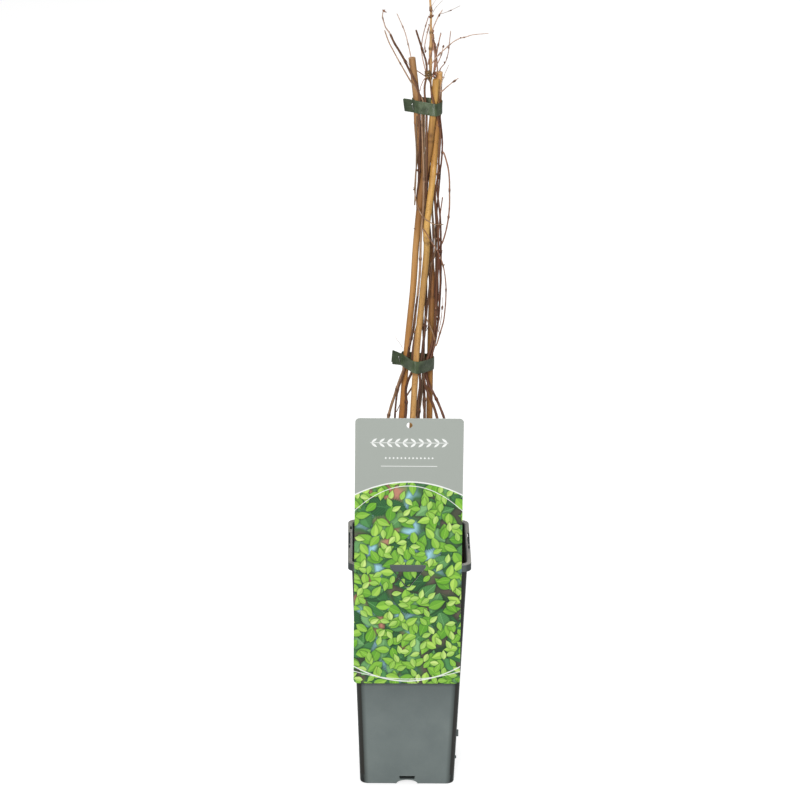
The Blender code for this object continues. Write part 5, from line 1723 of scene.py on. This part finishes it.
# %% Fine twigs
# The finish, the radius at the foot and at the tip, and the way, in millimetres
FINE_TWIGS = [
    ("pale", 0.30, 0.16, [(-9.5, -10, 704), (-7.5, -8, 701.5), (-3.5, -4, 694.5)]),
    ("red", 0.45, 0.40, [(1, 2, 690.5), (5, 1, 688), (9, 0, 685.5), (12, -1, 683.5)]),
    ("brown", 0.34, 0.30, [(12, -4, 686), (9, -5, 684), (7, -6, 680.5), (5.5, -6, 676.5), (5, -6, 672.5)]),
    ("dark", 0.34, 0.28, [(11.5, -5, 684), (13.5, -7, 682), (14.5, -8, 678.5), (15, -8, 674.5)]),
    ("pale", 0.28, 0.20, [(20, 0, 699.5), (20.5, -1, 694), (20.5, -2, 690)]),
    ("pale", 0.28, 0.14, [(13.2, 0, 747.5), (15, 1, 750.5), (18.5, -1, 756.5)]),
    ("hair", 0.30, 0.28, [(28.5, 3, 473), (28.5, 2, 466.5), (28.3, 2, 464)]),
    ("brown", 0.30, 0.42, [(28, 2, 460), (27, 4, 448.5), (25, 8, 436.5)]),
    ("tan", 0.55, 0.85, [(11.8, -4, 457.5), (13.5, -4, 454), (16, -2, 448), (19.5, 1, 439), (21.8, 2.5, 430)]),
    ("dark", 0.32, 0.30, [(16, -1, 445.5), (14.6, 1, 442.5), (13.2, 1, 439.6)]),
    ("tan", 0.75, 0.55, [(22.6, 12.5, 449), (24, 13, 449.8), (25.5, 12, 451.5)]),
    ("dark", 0.50, 0.35, [(-13.5, 2, 359.5), (-12, 2, 362.5), (-10, 3, 367)]),
    ("dark", 0.95, 0.75, [(3.2, -5, 391.5), (0.5, -8, 387), (-1.8, -10, 384), (-3.9, -11, 380.5)]),
    ("brown", 0.35, 0.30, [(11, -5, 373.5), (11.5, -5, 368), (12.5, -4, 362)]),
    ("olive", 0.55, 0.40, [(27.6, 0, 503.6), (28.6, -0.2, 504.0), (29.8, -0.6, 506.2)]),
    ("olive", 0.50, 0.35, [(28.3, 0, 503.9), (27.5, 0.2, 505.0), (26.9, 0.4, 506.2)]),
    ("tan", 0.40, 0.25, [(21, 5, 578.5), (22, 4.5, 578.7), (23, 4, 578.5)]),
    ("red", 0.55, 0.35, [(3, 2, 538.5), (1.8, 1, 539.4), (0.5, 0, 540)]),
    ("hair", 0.24, 0.16, [(-8, 3, 422.5), (-10, 2, 426.5), (-13, 2, 430.5), (-15.5, 2, 435)]),
    ("grey", 0.75, 0.70, [(9.3, 0, 654), (9.7, -1.5, 637), (10.0, -2.5, 620), (10.4, -2.5, 600),
                          (10.7, -0.5, 582), (10.8, 2, 562), (9.9, 3, 545), (10.4, 2, 530)]),
    ("dark", 0.80, 0.75, [(20.9, 6.0, 654), (21.6, 8.2, 636), (20.6, 8.6, 612), (19.2, 7.8, 590),
                          (19.6, 7.2, 570), (21.6, 8.6, 540), (22.0, 9.2, 505), (20.8, 9.0, 470)]),
    ("red", 0.60, 0.60, [(27.2, 8.6, 568), (24.6, 3.6, 545), (24.2, 2.6, 520), (25.8, 6.0, 490), (25.2, 8.6, 466)]),
    ("dark", 0.80, 0.70, [(16.8, 3.6, 632), (15.3, 4.2, 606), (13.5, 4.0, 586), (12.4, 4.4, 566)]),
    ("olive", 0.80, 0.70, [(13.2, -2.2, 684), (15.3, -3.0, 676), (15.6, -4.0, 664)]),
    ("brown", 0.45, 0.40, [(13.4, -2, 684.5), (16.0, -1.5, 685.2), (18.4, -0.6, 687), (20.6, 0.4, 686.2)]),
    ("dark", 0.90, 0.80, [(8.2, 8.6, 650), (9.0, 9.0, 622), (8.4, 11.6, 600), (6.6, 11.8, 575), (4.6, 11.0, 560),
                          (4.9, 11.4, 554)]),
    ("dark", 0.90, 0.85, [(20.4, 8.8, 632), (20.9, 9.0, 600), (18.0, 6.4, 560), (18.6, 5.0, 540), (19.0, 4.6, 515),
                          (17.0, 3.6, 495), (15.0, 3.0, 470), (13.4, 1.0, 452)]),
    ("dark", 0.90, 0.80, [(25.0, 5.6, 600), (23.4, 7.6, 572), (21.6, 9.2, 545), (21.8, 9.4, 515), (22.4, 10.0, 485),
                          (23.6, 9.4, 460)]),
    ("dark", 1.15, 1.05, [(23.8, 9.2, 462), (23.6, 8.0, 458), (23.6, 6.6, 454.6), (23.7, 5.8, 453.0)]),
    ("hair", 0.70, 0.66, [(23.7, 6.0, 453.3), (23.7, 5.4, 452.5), (23.7, 4.9, 451.9)]),
    ("brown", 0.70, 0.50, [(20.9, 1.5, 688.5), (20.3, 1.5, 698), (19.3, 2.0, 709), (18.5, 2.0, 716)]),
    ("grey", 0.70, 0.60, [(2.6, 0.4, 648), (2.2, 0.2, 628), (2.6, 0.6, 606), (2.2, 3.0, 584), (1.6, 7.0, 560)]),
]


def make_fine_twig(number, finish, foot, tip, way):
    way = np.array(way, dtype=float) * MM
    line, radii, at = fine_line(way, np.linspace(foot, tip, len(way)) * MM, 0.8 * MM)
    for i, s in enumerate(at):
        line[i] += np.array(noise.noise_vector(Vector((s / (6 * MM), number * 1.7, 3)))) * 0.12 * MM
    return sweep(f"fine_twig_{number}", line, rounded_ends(radii, at, 0.3 * MM, 0.6 * MM), np.zeros(len(at)), 1)


by_finish = {}
for number, row in enumerate(FINE_TWIGS):
    by_finish.setdefault(row[0], []).append(make_fine_twig(number, *row))
for finish, pieces in by_finish.items():
    count = len(pieces)
    fine = finish_piece(join(pieces, f"fine_twigs_{finish}"), BARK[finish])
    print(fine.name, count, "twigs,", len(fine.data.polygons), "faces")


# %% Tangles and stubs
def make_tangle(name, middle, reach, count, thick, turns, draw):
    """Short strands wound round a middle, in millimetres."""
    strands = []
    for number in range(count):
        start = draw.uniform(0, math.tau)
        way = draw.choice((-1, 1))
        points = []
        for share in np.linspace(0, 1, 14):
            angle = start + way * share * draw.uniform(0.92, 1.08) * turns * math.tau
            height = (2 * share - 1) * draw.uniform(0.85, 1)
            wide = math.sqrt(max(0.12, 1 - height * height)) * draw.uniform(0.75, 1.0)
            points.append((middle[0] + reach[0] * wide * math.cos(angle),
                           middle[1] + reach[1] * wide * math.sin(angle), middle[2] + reach[2] * height))
        line, radii, at = fine_line(np.array(points) * MM, np.full(14, thick * draw.uniform(0.7, 1.1)) * MM, 0.6 * MM)
        strands.append(sweep(name, line, rounded_ends(radii, at, 0.3 * MM, 0.5 * MM), np.zeros(len(at)), 1))
    return join(strands, name)


tangle_draw = random.Random(11)
TANGLES = [
    ("tangle", (12.6, -2.4, 687.0), (3.4, 2.4, 4.4), 9, 0.42, 0.6, "olive", 22),
    ("twig_foot_tangle", (18.2, -0.6, 686.6), (2.0, 1.5, 3.4), 5, 0.42, 0.7, "dark", 8),
    ("leader_tangle", (15.4, -0.6, 723.6), (1.9, 1.6, 4.8), 6, 0.55, 0.6, "leader", 16),
]
for name, middle, reach, count, thick, turns, look, scrap_count in TANGLES:
    wound = finish_piece(make_tangle(name, middle, reach, count, thick, turns, tangle_draw), BARK[look])
    places = []
    for _ in range(scrap_count):
        spot = [m + 0.9 * r * tangle_draw.uniform(-1, 1) for m, r in zip(middle, reach)]
        way = (tangle_draw.uniform(-1, 1), tangle_draw.uniform(-1, 1), 0.9)
        place = bud_place(spot, way, tangle_draw.uniform(1.2, 2.6), tangle_draw.uniform(0.8, 1.6))
        places.append(place @ Matrix.Scale(0.5, 4))
    scraps = scatter(make_crumb("scraps", 0.8, 5), places, name + "_scraps")
    finish_piece(scraps, BARK["olive" if look == "olive" else "brown"])
    print(name, len(wound.data.polygons), "faces,", scrap_count, "scraps")

# %% [markdown]
# ## The end
#
# The view layer is brought up to date. The dressed model has to stay inside the frame's box.

# %% Finish
bpy.context.view_layer.update()
